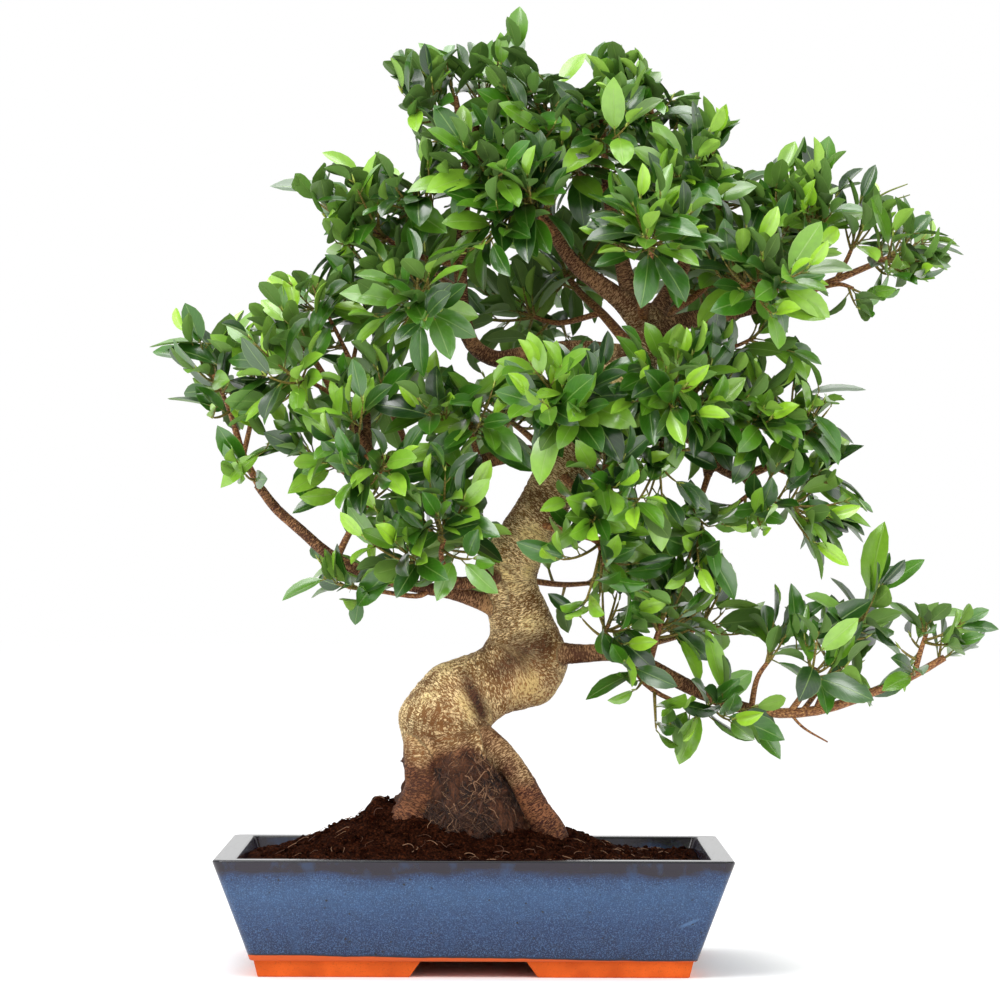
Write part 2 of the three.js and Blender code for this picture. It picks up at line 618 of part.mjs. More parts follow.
// A closed geometry as a solid that can be joined and cut.
function solidOf(geometry) {
  const bare = geometry.clone();
  bare.deleteAttribute('normal');
  bare.deleteAttribute('uv');
  const merged = mergeVertices(bare, 1e-4);
  const index = merged.index.array;
  const triangles = [];
  for (let k = 0; k < index.length; k += 3) {
    const [a, b, c] = [index[k], index[k + 1], index[k + 2]];
    if (a !== b && b !== c && c !== a) triangles.push(a, b, c);
  }
  return new wasm.Manifold(new wasm.Mesh({
    numProp: 3,
    vertProperties: new Float32Array(merged.attributes.position.array),
    triVerts: new Uint32Array(triangles),
  }));
}

function geometryOf(solid) {
  const mesh = solid.getMesh();
  const geometry = new THREE.BufferGeometry();
  const places = new Float32Array((mesh.vertProperties.length / mesh.numProp) * 3);
  for (let k = 0; k < places.length / 3; k += 1) {
    places.set(mesh.vertProperties.subarray(k * mesh.numProp, k * mesh.numProp + 3), k * 3);
  }
  geometry.setAttribute('position', new THREE.BufferAttribute(places, 3));
  geometry.setIndex(new THREE.BufferAttribute(new Uint32Array(mesh.triVerts), 1));
  geometry.computeVertexNormals();
  return geometry;
}

function largestPart(solid) {
  const parts = solid.decompose();
  parts.sort((a, b) => b.volume() - a.volume());
  return parts[0];
}

// Wraps a cylinder of unit size round a line of rings. Each ring gives its middle and the two
// half axes that the cylinder's x and z run along.
function wrapRings(rings, sides) {
  const shape = new THREE.CylinderGeometry(1, 1, 1, sides, rings.length - 1);
  const place = shape.attributes.position;
  const point = new THREE.Vector3();
  for (let k = 0; k < place.count; k += 1) {
    const ring = rings[Math.round((place.getY(k) + 0.5) * (rings.length - 1))];
    const reach = Math.hypot(place.getX(k), place.getZ(k));
    point.copy(ring.middle);
    if (reach > 1e-6) {
      point.addScaledVector(ring.across, place.getX(k) / reach);
      point.addScaledVector(ring.deep, place.getZ(k) / reach);
    }
    place.setXYZ(k, point.x, point.y, point.z);
  }
  return shape;
}

// A round tapered limb through points of the form [x, y, z, radius].
function limbSolid(points, sides, grow = 0) {
  const middles = points.map(([x, y, z]) => new THREE.Vector3(x, y, z));
  const last = middles.length - 1;
  const along = middles.map((_, k) => {
    const before = middles[Math.max(k - 1, 0)];
    return middles[Math.min(k + 1, last)].clone().sub(before).normalize();
  });
  middles[0].addScaledVector(along[0], -grow);
  middles[last].addScaledVector(along[last], grow);
  const across = new THREE.Vector3(0, 1, 0.2).cross(along[0]).normalize();
  const turn = new THREE.Quaternion();
  const rings = middles.map((middle, k) => {
    if (k > 0) across.applyQuaternion(turn.setFromUnitVectors(along[k - 1], along[k]));
    const radius = points[k][3] + grow;
    return {
      middle,
      across: across.clone().multiplyScalar(radius),
      deep: across.clone().cross(along[k]).multiplyScalar(radius),
    };
  });
  return solidOf(wrapRings(rings, sides));
}

// The main trunk as a loft through its rings.
function trunkLoft(grow) {
  const rings = trunkRings.map(({ left, right, deep, back }) => {
    const across = new THREE.Vector3(right[0] - left[0], 0, right[1] - left[1]).multiplyScalar(0.5);
    const half = across.length();
    return {
      middle: new THREE.Vector3((left[0] + right[0]) / 2, back, (left[1] + right[1]) / 2),
      across: across.multiplyScalar((half + grow) / half),
      deep: new THREE.Vector3(0, -(half * deep + grow), 0),
    };
  });
  return solidOf(wrapRings(rings, trunkSides));
}

function limbSides(points) {
  return points[1][3] > thickLimb ? 5 : 4;
}

function trunkSolid(grow = 0) {
  let trunk = trunkLoft(grow);
  for (const points of Object.values(limbs)) {
    trunk = trunk.add(limbSolid(points, limbSides(points), grow));
  }
  return trunk;
}

// A block with rounded corners whose plan shrinks evenly from its top to its bottom.
function taperedBlock(width, depth, taper, radius, bottom, top) {
  const [halfWidth, halfDepth] = [width / 2, depth / 2];
  const plan = new THREE.Shape();
  plan.moveTo(halfWidth - radius, -halfDepth);
  plan.absarc(halfWidth - radius, -halfDepth + radius, radius, -Math.PI / 2, 0);
  plan.absarc(halfWidth - radius, halfDepth - radius, radius, 0, Math.PI / 2);
  plan.absarc(-halfWidth + radius, halfDepth - radius, radius, Math.PI / 2, Math.PI);
  plan.absarc(-halfWidth + radius, -halfDepth + radius, radius, Math.PI, Math.PI * 1.5);
  const height = top - bottom;
  const block = new THREE.ExtrudeGeometry(plan, { depth: height, bevelEnabled: false, curveSegments: 2 });
  const place = block.attributes.position;
  for (let k = 0; k < place.count; k += 1) {
    const lowered = 1 - place.getZ(k) / height;
    place.setXYZ(
      k,
      place.getX(k) * (1 - (lowered * taper) / halfWidth),
      place.getY(k) * (1 - (lowered * taper) / halfDepth),
      place.getZ(k) + bottom,
    );
  }
  return solidOf(block);
}

// An L-shaped foot under one corner, narrower at the floor than where it meets the body.
function footSolid(signX, signY) {
  const cornerX = rimWidth / 2 - bodyTaper - footInset;
  const cornerY = rimDepth / 2 - bodyTaper - footInset;
  const overlap = 1;
  const plan = new THREE.Shape();
  plan.moveTo(cornerX, cornerY);
  plan.lineTo(cornerX - footLength, cornerY);
  plan.lineTo(cornerX - footLength, cornerY - footThick);
  plan.lineTo(cornerX - footThick, cornerY - footThick);
  plan.lineTo(cornerX - footThick, cornerY - footSide);
  plan.lineTo(cornerX, cornerY - footSide);
  const foot = new THREE.ExtrudeGeometry(plan, { depth: footHeight + overlap, bevelEnabled: false });
  const place = foot.attributes.position;
  const middleX = cornerX - footThick / 2;
  const middleY = cornerY - footThick / 2;
  for (let k = 0; k < place.count; k += 1) {
    const lowered = 1 - place.getZ(k) / (footHeight + overlap);
    const x = place.getX(k);
    const y = place.getY(k);
    const inwardX = x < cornerX - footLength + 1 ? footSlant : Math.sign(middleX - x) * (footSlant / 3);
    const inwardY = y < cornerY - footSide + 1 ? footSlant : Math.sign(middleY - y) * (footSlant / 3);
    place.setXYZ(k, signX * (x + inwardX * lowered), signY * (y + inwardY * lowered), place.getZ(k));
  }
  if (signX * signY < 0) foot.setIndex(flipped(foot));
  return solidOf(foot);
}

// The triangle order of a geometry that has been mirrored.
function flipped(geometry) {
  const order = [];
  for (let k = 0; k < geometry.attributes.position.count; k += 3) order.push(k, k + 2, k + 1);
  return order;
}

function potSolid() {
  const outside = taperedBlock(rimWidth, rimDepth, bodyTaper, cornerRadius, footHeight, potHeight);
  const inside = taperedBlock(
    rimWidth - 2 * lipWidth, rimDepth - 2 * lipWidth, innerTaper, cornerRadius, floorTop, potHeight + 0.01,
  );
  let pot = outside.subtract(inside);
  for (const signX of [-1, 1]) {
    for (const signY of [-1, 1]) pot = pot.add(footSolid(signX, signY));
  }
  for (const side of [-1, 1]) {
    const drain = new THREE.CylinderGeometry(drainRadius, drainRadius, 2 * floorTop, 16);
    drain.rotateX(Math.PI / 2);
    drain.translate(side * drainSpread, 0, floorTop);
    pot = pot.subtract(solidOf(drain));
  }
  return pot;
}

function screenSolid() {
  const sheet = new THREE.BoxGeometry(screenSize, screenSize, screenThick);
  const opening = (screenSize - (screenHoles + 1) * screenBar) / screenHoles;
  let screen = solidOf(sheet.translate(0, 0, screenThick / 2));
  for (let row = 0; row < screenHoles; row += 1) {
    for (let column = 0; column < screenHoles; column += 1) {
      const [x, y] = [column, row].map((step) => (step - (screenHoles - 1) / 2) * (opening + screenBar));
      const hole = new THREE.BoxGeometry(opening, opening, 4 * screenThick);
      screen = screen.subtract(solidOf(hole.translate(x, y, 0)));
    }
  }
  return screen;
}

// The same seeded draws every time: numbers from 0 up to 1.
function makeDraw(seed) {
  let state = seed >>> 0;
  return () => {
    state = (Math.imul(state, 1664525) + 1013904223) >>> 0;
    return state / 4294967296;
  };
}

function soilHeight(x, y, draw) {
  let height = soilEdge;
  for (const { x: swellX, y: swellY, rise, spreadX, spreadY } of soilSwells) {
    height += rise * Math.exp(-(((x - swellX) / spreadX) ** 2) - ((y - swellY) / spreadY) ** 2);
  }
  return height + (draw() - 0.5) * 2 * soilGrain;
}

// Soil: a block that fills the pot, cut off at its heaped surface and hollowed for the trunk.
function soilSolid(trunkGrown) {
  const draw = makeDraw(7);
  const heap = new THREE.BoxGeometry(rimWidth, rimDepth, 1, soilColumns, soilRows, 1);
  const merged = mergeVertices(stripped(heap), 1e-4);
  const place = merged.attributes.position;
  for (let k = 0; k < place.count; k += 1) {
    const height = place.getZ(k) > 0 ? soilHeight(place.getX(k), place.getY(k), draw) : 0;
    place.setZ(k, height);
  }
  const filling = taperedBlock(
    rimWidth - 2 * lipWidth - 2 * gap, rimDepth - 2 * lipWidth - 2 * gap, innerTaper, cornerRadius,
    floorTop + gap, potHeight + 60,
  );
  let soil = solidOf(merged).intersect(filling);
  for (const side of [-1, 1]) {
    const pocketSide = screenSize + 2 * gap;
    const pocket = new THREE.BoxGeometry(pocketSide, pocketSide, 2 * (screenThick + 2 * gap));
    pocket.translate(side * drainSpread, 0, floorTop);
    soil = soil.subtract(solidOf(pocket));
  }
  return largestPart(soil.subtract(trunkGrown));
}

function stripped(geometry) {
  geometry.deleteAttribute('normal');
  geometry.deleteAttribute('uv');
  return geometry;
}

// Three-sided wood and leaves are laid as one mesh of shared points.
function addPoint(mesh, point) {
  mesh.points.push(point);
  return mesh.points.length - 1;
}

function meshSolid(mesh) {
  const geometry = new THREE.BufferGeometry().setFromPoints(mesh.points);
  geometry.setIndex(mesh.triangles);
  return solidOf(geometry);
}

// Walls a gap of four corners along the diagonal that leaves the wall convex.
function addWall(mesh, p, q, r, s) {
  const [a, b, c, d] = [p, q, r, s].map((id) => mesh.points[id]);
  const outward = b.clone().sub(a).cross(c.clone().sub(a));
  const rising = d.clone().sub(a).dot(outward) <= 0;
  mesh.triangles.push(...(rising ? [p, q, r, p, r, s] : [p, q, s, q, r, s]));
}

// Walls the gap between two rings of three corners, matched so that they twist least.
function joinRings(mesh, from, to) {
  const spread = (shift) => from.reduce(
    (sum, id, k) => sum + mesh.points[id].distanceToSquared(mesh.points[to[(k + shift) % 3]]), 0,
  );
  const shift = [0, 1, 2].reduce((best, k) => (spread(k) < spread(best) ? k : best));
  const next = [0, 1, 2].map((k) => to[(k + shift) % 3]);
  from.forEach((p, k) => addWall(mesh, p, from[(k + 1) % 3], next[(k + 1) % 3], next[k]));
}

function addTip(mesh, ring, point) {
  const tip = addPoint(mesh, point);
  ring.forEach((id, k) => mesh.triangles.push(id, ring[(k + 1) % 3], tip));
}

// Rings of a blade in triangular section: the keel, one edge and the other edge at each, with
// the flat side towards the tip of the shoot that bears it.
function bladeRings(leaf, stations) {
  const under = leaf.face.dot(leaf.along) < 0;
  const up = leaf.face.clone().multiplyScalar(under ? -1 : 1);
  const bow = under ? -leaf.curl : leaf.curl;
  const side = up.clone().cross(leaf.way);
  return stations.map(({ at, half, deep, lift = 0 }) => {
    const bent = bow * at;
    const middle = leaf.root.clone()
      .addScaledVector(leaf.way, leaf.length * at * (1 - (bent * bent) / 6))
      .addScaledVector(up, (-leaf.length * at * bent) / 2 + lift);
    return [
      middle.clone().addScaledVector(up, -deep),
      middle.clone().addScaledVector(side, half),
      middle.clone().addScaledVector(side, -half),
    ];
  });
}

// The blade ends in a short point.
function layBlade(mesh, leaf, foot) {
  const [wide, shoulder, tip] = bladeRings(leaf, [
    { at: bladeWidest.at, half: leaf.width * bladeWidest.half, deep: bladeThick },
    { at: bladeShoulder.at, half: leaf.width * bladeShoulder.half, deep: bladeThick },
    { at: 1, half: 0, deep: 0 },
  ]);
  const middle = wide.map((point) => addPoint(mesh, point));
  const upper = shoulder.map((point) => addPoint(mesh, point));
  joinRings(mesh, foot, middle);
  joinRings(mesh, middle, upper);
  addTip(mesh, upper, tip[0]);
}

// A closed body a little larger than a blade, to find what the blade would cross.
function bladeGuard(leaf, from) {
  const fat = { deep: bladeThick + 2 * gap, lift: gap };
  const widest = leaf.width * bladeWidest.half;
  const rings = bladeRings(leaf, [
    { at: from, half: widest * (from / bladeWidest.at) + shootThick, ...fat },
    { at: bladeWidest.at, half: widest + 2 * gap, ...fat },
    { at: bladeShoulder.at, half: leaf.width * bladeShoulder.half + 2 * gap, ...fat },
    { at: 1.02, half: 2 * gap, ...fat },
  ]);
  const mesh = { points: [], triangles: [] };
  const ids = rings.map((ring) => ring.map((point) => addPoint(mesh, point)));
  mesh.triangles.push(ids[0][0], ids[0][2], ids[0][1], ...ids[3]);
  for (let k = 0; k < 3; k += 1) joinRings(mesh, ids[k], ids[k + 1]);
  return guardOf(meshSolid(mesh));
}

// Lays a three-sided branch. Each growth on it stands on a small triangle cut from the face
// below its own ring, and is laid in turn from there. A branch without a foot is closed there.
function layBranch(mesh, branch, foot) {
  const third = (Math.PI * 2) / 3;
  const turn = new THREE.Quaternion();
  let along = branch.curve.getTangent(0);
  const across = along.clone().cross(smallestAxis(along)).normalize();
  const aim = (direction) => Math.atan2(direction.dot(along.clone().cross(across)), direction.dot(across));
  let angle = 0;
  if (foot) {
    const corners = foot.map((id) => mesh.points[id]);
    const middle = corners[0].clone().add(corners[1]).add(corners[2]).divideScalar(3);
    angle = aim(corners[0].clone().sub(middle));
  }
  let below = foot;
  const clear = (at) => branch.growths.every((growth) => Math.abs(growth.at - at) > branch.near);
  const knots = branch.knots.filter(clear);
  const sites = [...branch.growths, ...knots.map((at) => ({ at }))].sort((a, b) => a.at - b.at);
  for (const site of sites) {
    const next = branch.curve.getTangent(site.at);
    across.applyQuaternion(turn.setFromUnitVectors(along, next));
    along = next;
    let face = -1;
    if (site.lay) {
      const wanted = aim(site.way) - third / 2;
      const steps = Math.round((wanted - angle) / third);
      angle = wanted - steps * third;
      face = ((steps % 3) + 3) % 3;
    }
    const deep = along.clone().cross(across);
    const middle = branch.curve.getPoint(site.at);
    const radius = branch.radiusAt(site.at);
    const ring = [0, 1, 2].map((k) => addPoint(mesh, middle.clone()
      .addScaledVector(across, radius * Math.cos(angle + k * third))
      .addScaledVector(deep, radius * Math.sin(angle + k * third))));
    if (!below) {
      mesh.triangles.push(ring[0], ring[2], ring[1]);
    } else if (face < 0 && below === foot) {
      joinRings(mesh, below, ring);
    } else {
      for (let k = 0; k < 3; k += 1) {
        const [p, q, r, s] = [below[k], below[(k + 1) % 3], ring[(k + 1) % 3], ring[k]];
        if (k !== face) {
          addWall(mesh, p, q, r, s);
          continue;
        }
        const sill = mesh.points[r].clone().add(mesh.points[s]).multiplyScalar(0.5);
        const m = addPoint(mesh, sill.addScaledVector(along, -site.foot));
        mesh.triangles.push(p, q, m, p, m, s, q, r, m);
        site.lay(mesh, [m, r, s]);
      }
    }
    below = ring;
  }
  branch.end(mesh, below);
}

function smallestAxis(direction) {
  const sizes = direction.toArray().map(Math.abs);
  const axis = new THREE.Vector3();
  return axis.setComponent(sizes.indexOf(Math.min(...sizes)), 1);
}

// A stem as a branch, with nothing growing on it yet.
function stemBranch(points) {
  const curve = new THREE.CatmullRomCurve3(points.map(([x, y, z]) => new THREE.Vector3(x, y, z)));
  const last = points.length - 1;
  const length = curve.getLength();
  return {
    curve,
    length,
    radiusAt: (at) => {
      const k = Math.min(Math.floor(at * last), last - 1);
      return THREE.MathUtils.lerp(points[k][3], points[k + 1][3], at * last - k);
    },
    growths: [],
    knots: points.map((_, k) => k / last),
    near: 6 / length,
  };
}

// The place on the stems nearest to a point: which stem, how far along it, and how far away.
function nearestPlace(stems, target) {
  let best = { away: Infinity };
  stems.forEach((points, stem) => {
    for (let k = 0; k + 1 < points.length; k += 1) {
      const line = new THREE.Line3(new THREE.Vector3(...points[k]), new THREE.Vector3(...points[k + 1]));
      const share = line.closestPointToPointParameter(target, true);
      const away = line.at(share, new THREE.Vector3()).distanceTo(target);
      if (away < best.away - 1e-6) best = { away, stem, at: (k + share) / (points.length - 1) };
    }
  });
  return best;
}

// A shoot sags a little and turns up towards its tip.
function shootBetween(root, target, bend = [0, 0, 0]) {
  const length = root.distanceTo(target);
  const middle = root.clone().lerp(target, 0.5).add(new THREE.Vector3(...bend));
  middle.z -= length * shootSag;
  return { curve: new THREE.QuadraticBezierCurve3(root, middle, target), length };
}

// Leaves stand round a shoot in a spiral, small and upright at its tip, larger and more open
// lower down, and turn their faces up and out of the crown.
function leavesOn(shoot, seed) {
  const draw = makeDraw(seed);
  const spin = draw() * Math.PI * 2;
  const leaves = [];
  for (let order = 0; order < leafCount(shoot.length); order += 1) {
    const age = Math.min(1, order / 3.5);
    const at = leafPlace(shoot.length, order);
    const root = shoot.curve.getPoint(at);
    const along = shoot.curve.getTangent(at);
    const across = along.clone().cross(smallestAxis(along)).normalize();
    const deep = across.clone().cross(along);
    const turn = spin + order * turnPerLeaf + (draw() - 0.5) * 0.7;
    const open = 0.35 + 0.75 * age + (draw() - 0.5) * 0.3;
    const outward = root.clone().sub(crownMiddle).normalize();
    const way = along.clone().multiplyScalar(Math.cos(open));
    way.addScaledVector(across, Math.cos(turn) * Math.sin(open));
    way.addScaledVector(deep, Math.sin(turn) * Math.sin(open));
    way.addScaledVector(outward, 0.2);
    way.z += 0.1 - 0.16 * age;
    way.normalize();
    const face = along.clone().multiplyScalar(0.55).addScaledVector(outward, 0.5);
    face.z += 0.4;
    face.x += (draw() - 0.5) * 0.9;
    face.y += (draw() - 0.5) * 0.9 - 0.12;
    face.addScaledVector(way, -face.dot(way)).normalize();
    const length = leafLength * (0.62 + 0.38 * age) * (0.86 + 0.3 * draw());
    const curl = 0.25 + 0.5 * age * draw() + 0.15 * draw();
    const width = length / (leafSlender + 0.3 * (draw() - 0.5));
    leaves.push({ at, root, along, way, face, length, width, curl });
  }
  return leaves;
}

// How far along a shoot its leaf of an order stands, and how many leaves it has.
function leafPlace(length, order) {
  return Math.max(0.05, 1 - (1 + order * leafGap) / length);
}

function leafCount(length) {
  return Math.max(3, Math.min(9, Math.floor(Math.min(length * 0.82, leafyLength) / leafGap) + 1));
}

// Bends that a shoot tries in turn.
const shootTries = [
  [0, 0, 0], [4, 9, 0], [-4, -9, 0], [0, 0, 9], [9, -4, 6], [-9, 4, 6], [7, 16, -6], [-7, -16, -6],
  [0, 0, 20],
  [20, 6, 8], [-20, -6, 8], [6, 26, 6], [-6, -26, 6], [0, 0, -14], [26, 0, -10], [-26, 0, -10],
];

// Turns about the shoot, tilts and sizes that a leaf tries in this order.
const leafTries = [
  [0, 0, 1], [0.5, 0, 1], [-0.5, 0, 1], [0, 0.4, 0.95], [1, 0.2, 0.95], [-1, 0.2, 0.95],
  [0.5, -0.4, 0.9], [-0.5, -0.4, 0.9], [1.6, 0, 0.85], [-1.6, 0, 0.85], [2.2, 0.2, 0.8],
  [-2.2, 0.2, 0.8], [0, 0.7, 0.8], [0, -0.6, 0.8], [3.1, 0, 0.8], [1.2, 0.6, 0.75],
  [-1.2, 0.6, 0.75],
];

// Everything that later wood and leaves keep clear of.
const placed = [];

function guardOf(solid) {
  const { min, max } = solid.boundingBox();
  return { solid, box: new THREE.Box3(new THREE.Vector3(...min), new THREE.Vector3(...max)) };
}

// A closed round body a little thicker than a branch, from a way off its root to its end.
function branchGuard(curve, radiusAt, knots, off = 0) {
  const points = knots.map((at) => {
    const spot = curve.getPoint(at);
    return [spot.x, spot.y, spot.z, radiusAt(at) + 2 * gap];
  });
  const [root, next] = points.map(([x, y, z]) => new THREE.Vector3(x, y, z));
  const start = root.lerp(next, Math.min(0.8, off / root.distanceTo(next)));
  points[0].splice(0, 3, start.x, start.y, start.z);
  return guardOf(limbSolid(points, 5));
}

function blocked(guard, except) {
  return placed.some((other) => {
    if (other === except || !guard.box.intersectsBox(other.box)) return false;
    const common = guard.solid.intersect(other.solid);
    const crossing = common.volume() > 1e-5;
    common.delete();
    return crossing;
  });
}

// A shoot that would cross other wood is bent aside, or left out if that fails.
function clearShoot(root, target, radius, keepOff, stemGuard) {
  for (const bend of shootTries) {
    const shoot = shootBetween(root, target, bend);
    const radiusAt = (at) => radius * (1 - shootTaper * at);
    const orders = leafOrders.filter((order) => order < leafCount(shoot.length));
    const knots = [0, ...orders.map((order) => leafPlace(shoot.length, order)).reverse(), 1];
    const outer = branchGuard(shoot.curve, radiusAt, knots, keepOff);
    const clear = !blocked(outer, stemGuard);
    outer.solid.delete();
    if (!clear) continue;
    const guard = branchGuard(shoot.curve, radiusAt, knots);
    const setOff = shoot.curve.getPoint(knots[1]);
    placed.push(guard);
    return { ...shoot, radiusAt, guard, orders, setOff, growths: [], knots: [], near: 0 };
  }
  return null;
}

// A leaf that would cross anything is turned or tilted until it is clear, or left out.
function clearLeaf(leaf, twig) {
  for (const [turn, tilt, size] of leafTries) {
    const trial = { ...leaf, way: leaf.way.clone(), face: leaf.face.clone() };
    const side = leaf.way.clone().cross(leaf.face);
    for (const direction of [trial.way, trial.face]) {
      direction.applyAxisAngle(side, tilt).applyAxisAngle(leaf.along, turn);
    }
    trial.length = leaf.length * size;
    trial.width = leaf.width * size;
    const guard = bladeGuard(trial, 0.04);
    const outer = bladeGuard(trial, 0.16);
    const common = outer.solid.intersect(twig.solid);
    const crossing = twig !== null && common.volume() > 1e-5;
    common.delete();
    outer.solid.delete();
    if (!crossing && !blocked(guard, twig)) {
      placed.push(guard);
      return trial;
    }
    guard.solid.delete();
  }
  return null;
}

// Moves growths down their stem until each has a length of it to itself. Those left with none
// are dropped.
function spaceOut(stem, start) {
  const step = shootSpacing / stem.length;
  let limit = 1 - 0.5 * step;
  const kept = [];
  for (const growth of [...stem.growths].sort((a, b) => b.at - a.at)) {
    growth.at = Math.min(growth.at, limit);
    if (growth.at < start + step) continue;
    limit = growth.at - step;
    kept.push(growth);
  }
  stem.growths = kept;
}

const tree = new THREE.Group();

function addPiece(name, geometry, material, x = 0, y = 0, z = 0) {
  const piece = new THREE.Mesh(geometry, material);
  piece.name = name;
  piece.position.set(x, y, z);
  tree.add(piece);
}

const trunkGrown = trunkSolid(gap);
addPiece('pot', geometryOf(potSolid()), glaze);
addPiece('soil', geometryOf(soilSolid(trunkGrown)), earth);
addPiece('trunk', geometryOf(trunkSolid()), bark);
addPiece('screen_left', geometryOf(screenSolid()), meshBlack, -drainSpread, 0, floorTop + gap);
addPiece('screen_right', geometryOf(screenSolid()), meshBlack, drainSpread, 0, floorTop + gap);
placed.push(guardOf(trunkLoft(2 * gap)));
for (const points of Object.values(limbs)) {
  placed.push(guardOf(limbSolid(points, limbSides(points), 2 * gap)));
}

// The growth that carries a stem on past its end, if one leads far enough the same way.
function leaderOf(stem) {
  const end = stem.curve.getPoint(1);
  const along = stem.curve.getTangent(1);
  const straight = ({ target }) => target.clone().sub(end).normalize().dot(along);
  const able = stem.growths.filter((growth) => growth.at > 0.98 && straight(growth) > 0.8);
  return able.sort((a, b) => straight(b) - straight(a))[0];
}

// Stems first: where each leaves an earlier one, and which shoots it is to bear.
const bearing = Object.entries(sprays).map(([name, { stems, tips }], number) => {
  const branches = stems.map(stemBranch);
  stems.slice(1).forEach((points, k) => {
    const { stem, at } = nearestPlace(stems.slice(0, k + 1), new THREE.Vector3(...points[0]));
    const branch = branches[k + 1];
    branches[stem].growths.push({ at, branch, target: branch.curve.getPoint(1), back: 0 });
  });
  tips.slice(0, Math.ceil(tips.length * shootShare)).forEach((tip, order) => {
    const target = new THREE.Vector3(...tip);
    const { stem, at, away } = nearestPlace(stems, target);
    const back = (away * 0.3) / branches[stem].length;
    branches[stem].growths.push({ at, target, back, seed: 101 + number * 37 + order * 11 });
  });
  branches.forEach((stem, k) => {
    stem.leader = leaderOf(stem);
    stem.growths = stem.growths.filter((growth) => growth !== stem.leader);
    for (const growth of stem.growths) growth.at -= growth.back;
    spaceOut(stem, k === 0 ? 0.25 : 0);
    if (stem.leader) stem.leader.at = 1;
    for (const growth of [...stem.growths, stem.leader].filter((one) => one?.branch)) {
      const child = growth.branch;
      child.curve.points[0].copy(stem.curve.getPoint(growth.at));
      child.curve.updateArcLengths();
      child.knots = child.knots.filter((at) => at * child.length > shootSpacing);
      child.setOff = child.curve.getPoint(child.knots[0]);
    }
  });
  return { name, branches };
});
for (const { branches } of bearing) {
  for (const stem of branches) {
    const knots = stem.knots[0] > 0 ? [0, ...stem.knots] : stem.knots;
    stem.guard = branchGuard(stem.curve, stem.radiusAt, knots);
    placed.push(stem.guard);
  }
}

// Then the shoots, then the leaves, and last each spray is laid as one body.
for (const { branches } of bearing) {
  for (const stem of branches) {
    for (const growth of [stem.leader, ...stem.growths].filter((one) => one?.seed)) {
      const leads = growth === stem.leader;
      const stemRadius = stem.radiusAt(growth.at);
      const radius = Math.min(stemRadius * 0.8, shootThick);
      const keepOff = leads ? 0 : stemRadius + radius + 4;
      const root = stem.curve.getPoint(growth.at);
      growth.branch = clearShoot(root, growth.target, radius, keepOff, leads ? stem.guard : null);
    }
    stem.growths = stem.growths.filter((growth) => growth.branch);
    for (const growth of stem.growths) {
      growth.foot = shootFoot;
      growth.way = growth.branch.setOff.clone().sub(stem.curve.getPoint(growth.at)).normalize();
      growth.lay = (mesh, foot) => layBranch(mesh, growth.branch, foot);
    }
    if (stem.leader?.branch) {
      stem.end = (mesh, ring) => layBranch(mesh, stem.leader.branch, ring);
    } else {
      stem.knots = stem.knots.map((at) => Math.min(at, 0.97));
      stem.end = (mesh, ring) => addTip(mesh, ring, stem.curve.getPoint(1));
    }
  }
}
for (const { name, branches } of bearing) {
  const growths = branches.flatMap((stem) => [...stem.growths, stem.leader]);
  const grown = growths.filter((growth) => growth?.seed && growth.branch);
  for (const { seed, branch: shoot } of grown) {
    const leaves = leavesOn(shoot, seed);
    const [end, ...others] = shoot.orders.map((order) => clearLeaf(leaves[order], shoot.guard));
    shoot.end = end
      ? (mesh, ring) => layBlade(mesh, end, ring)
      : (mesh, ring) => addTip(mesh, ring, shoot.curve.getPoint(1));
    shoot.growths = others.filter((leaf) => leaf).map((leaf) => ({
      at: leaf.at,
      way: leaf.way,
      foot: petioleFoot,
      lay: (mesh, foot) => layBlade(mesh, leaf, foot),
    }));
    shoot.knots = [leaves[0].at];
  }
  const mesh = { points: [], triangles: [] };
  layBranch(mesh, branches[0], null);
  const body = largestPart(meshSolid(mesh).subtract(trunkGrown));
  addPiece(`spray_${name}`, geometryOf(body), leafGreen);
}

const outline = new THREE.Box3().setFromObject(tree);
const middle = outline.getCenter(new THREE.Vector3());
tree.position.set(-middle.x, -middle.y, -outline.min.z);

export default tree;
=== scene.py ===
import bpy, bmesh, math
import numpy as np
from mathutils import Euler, Matrix, Vector, noise


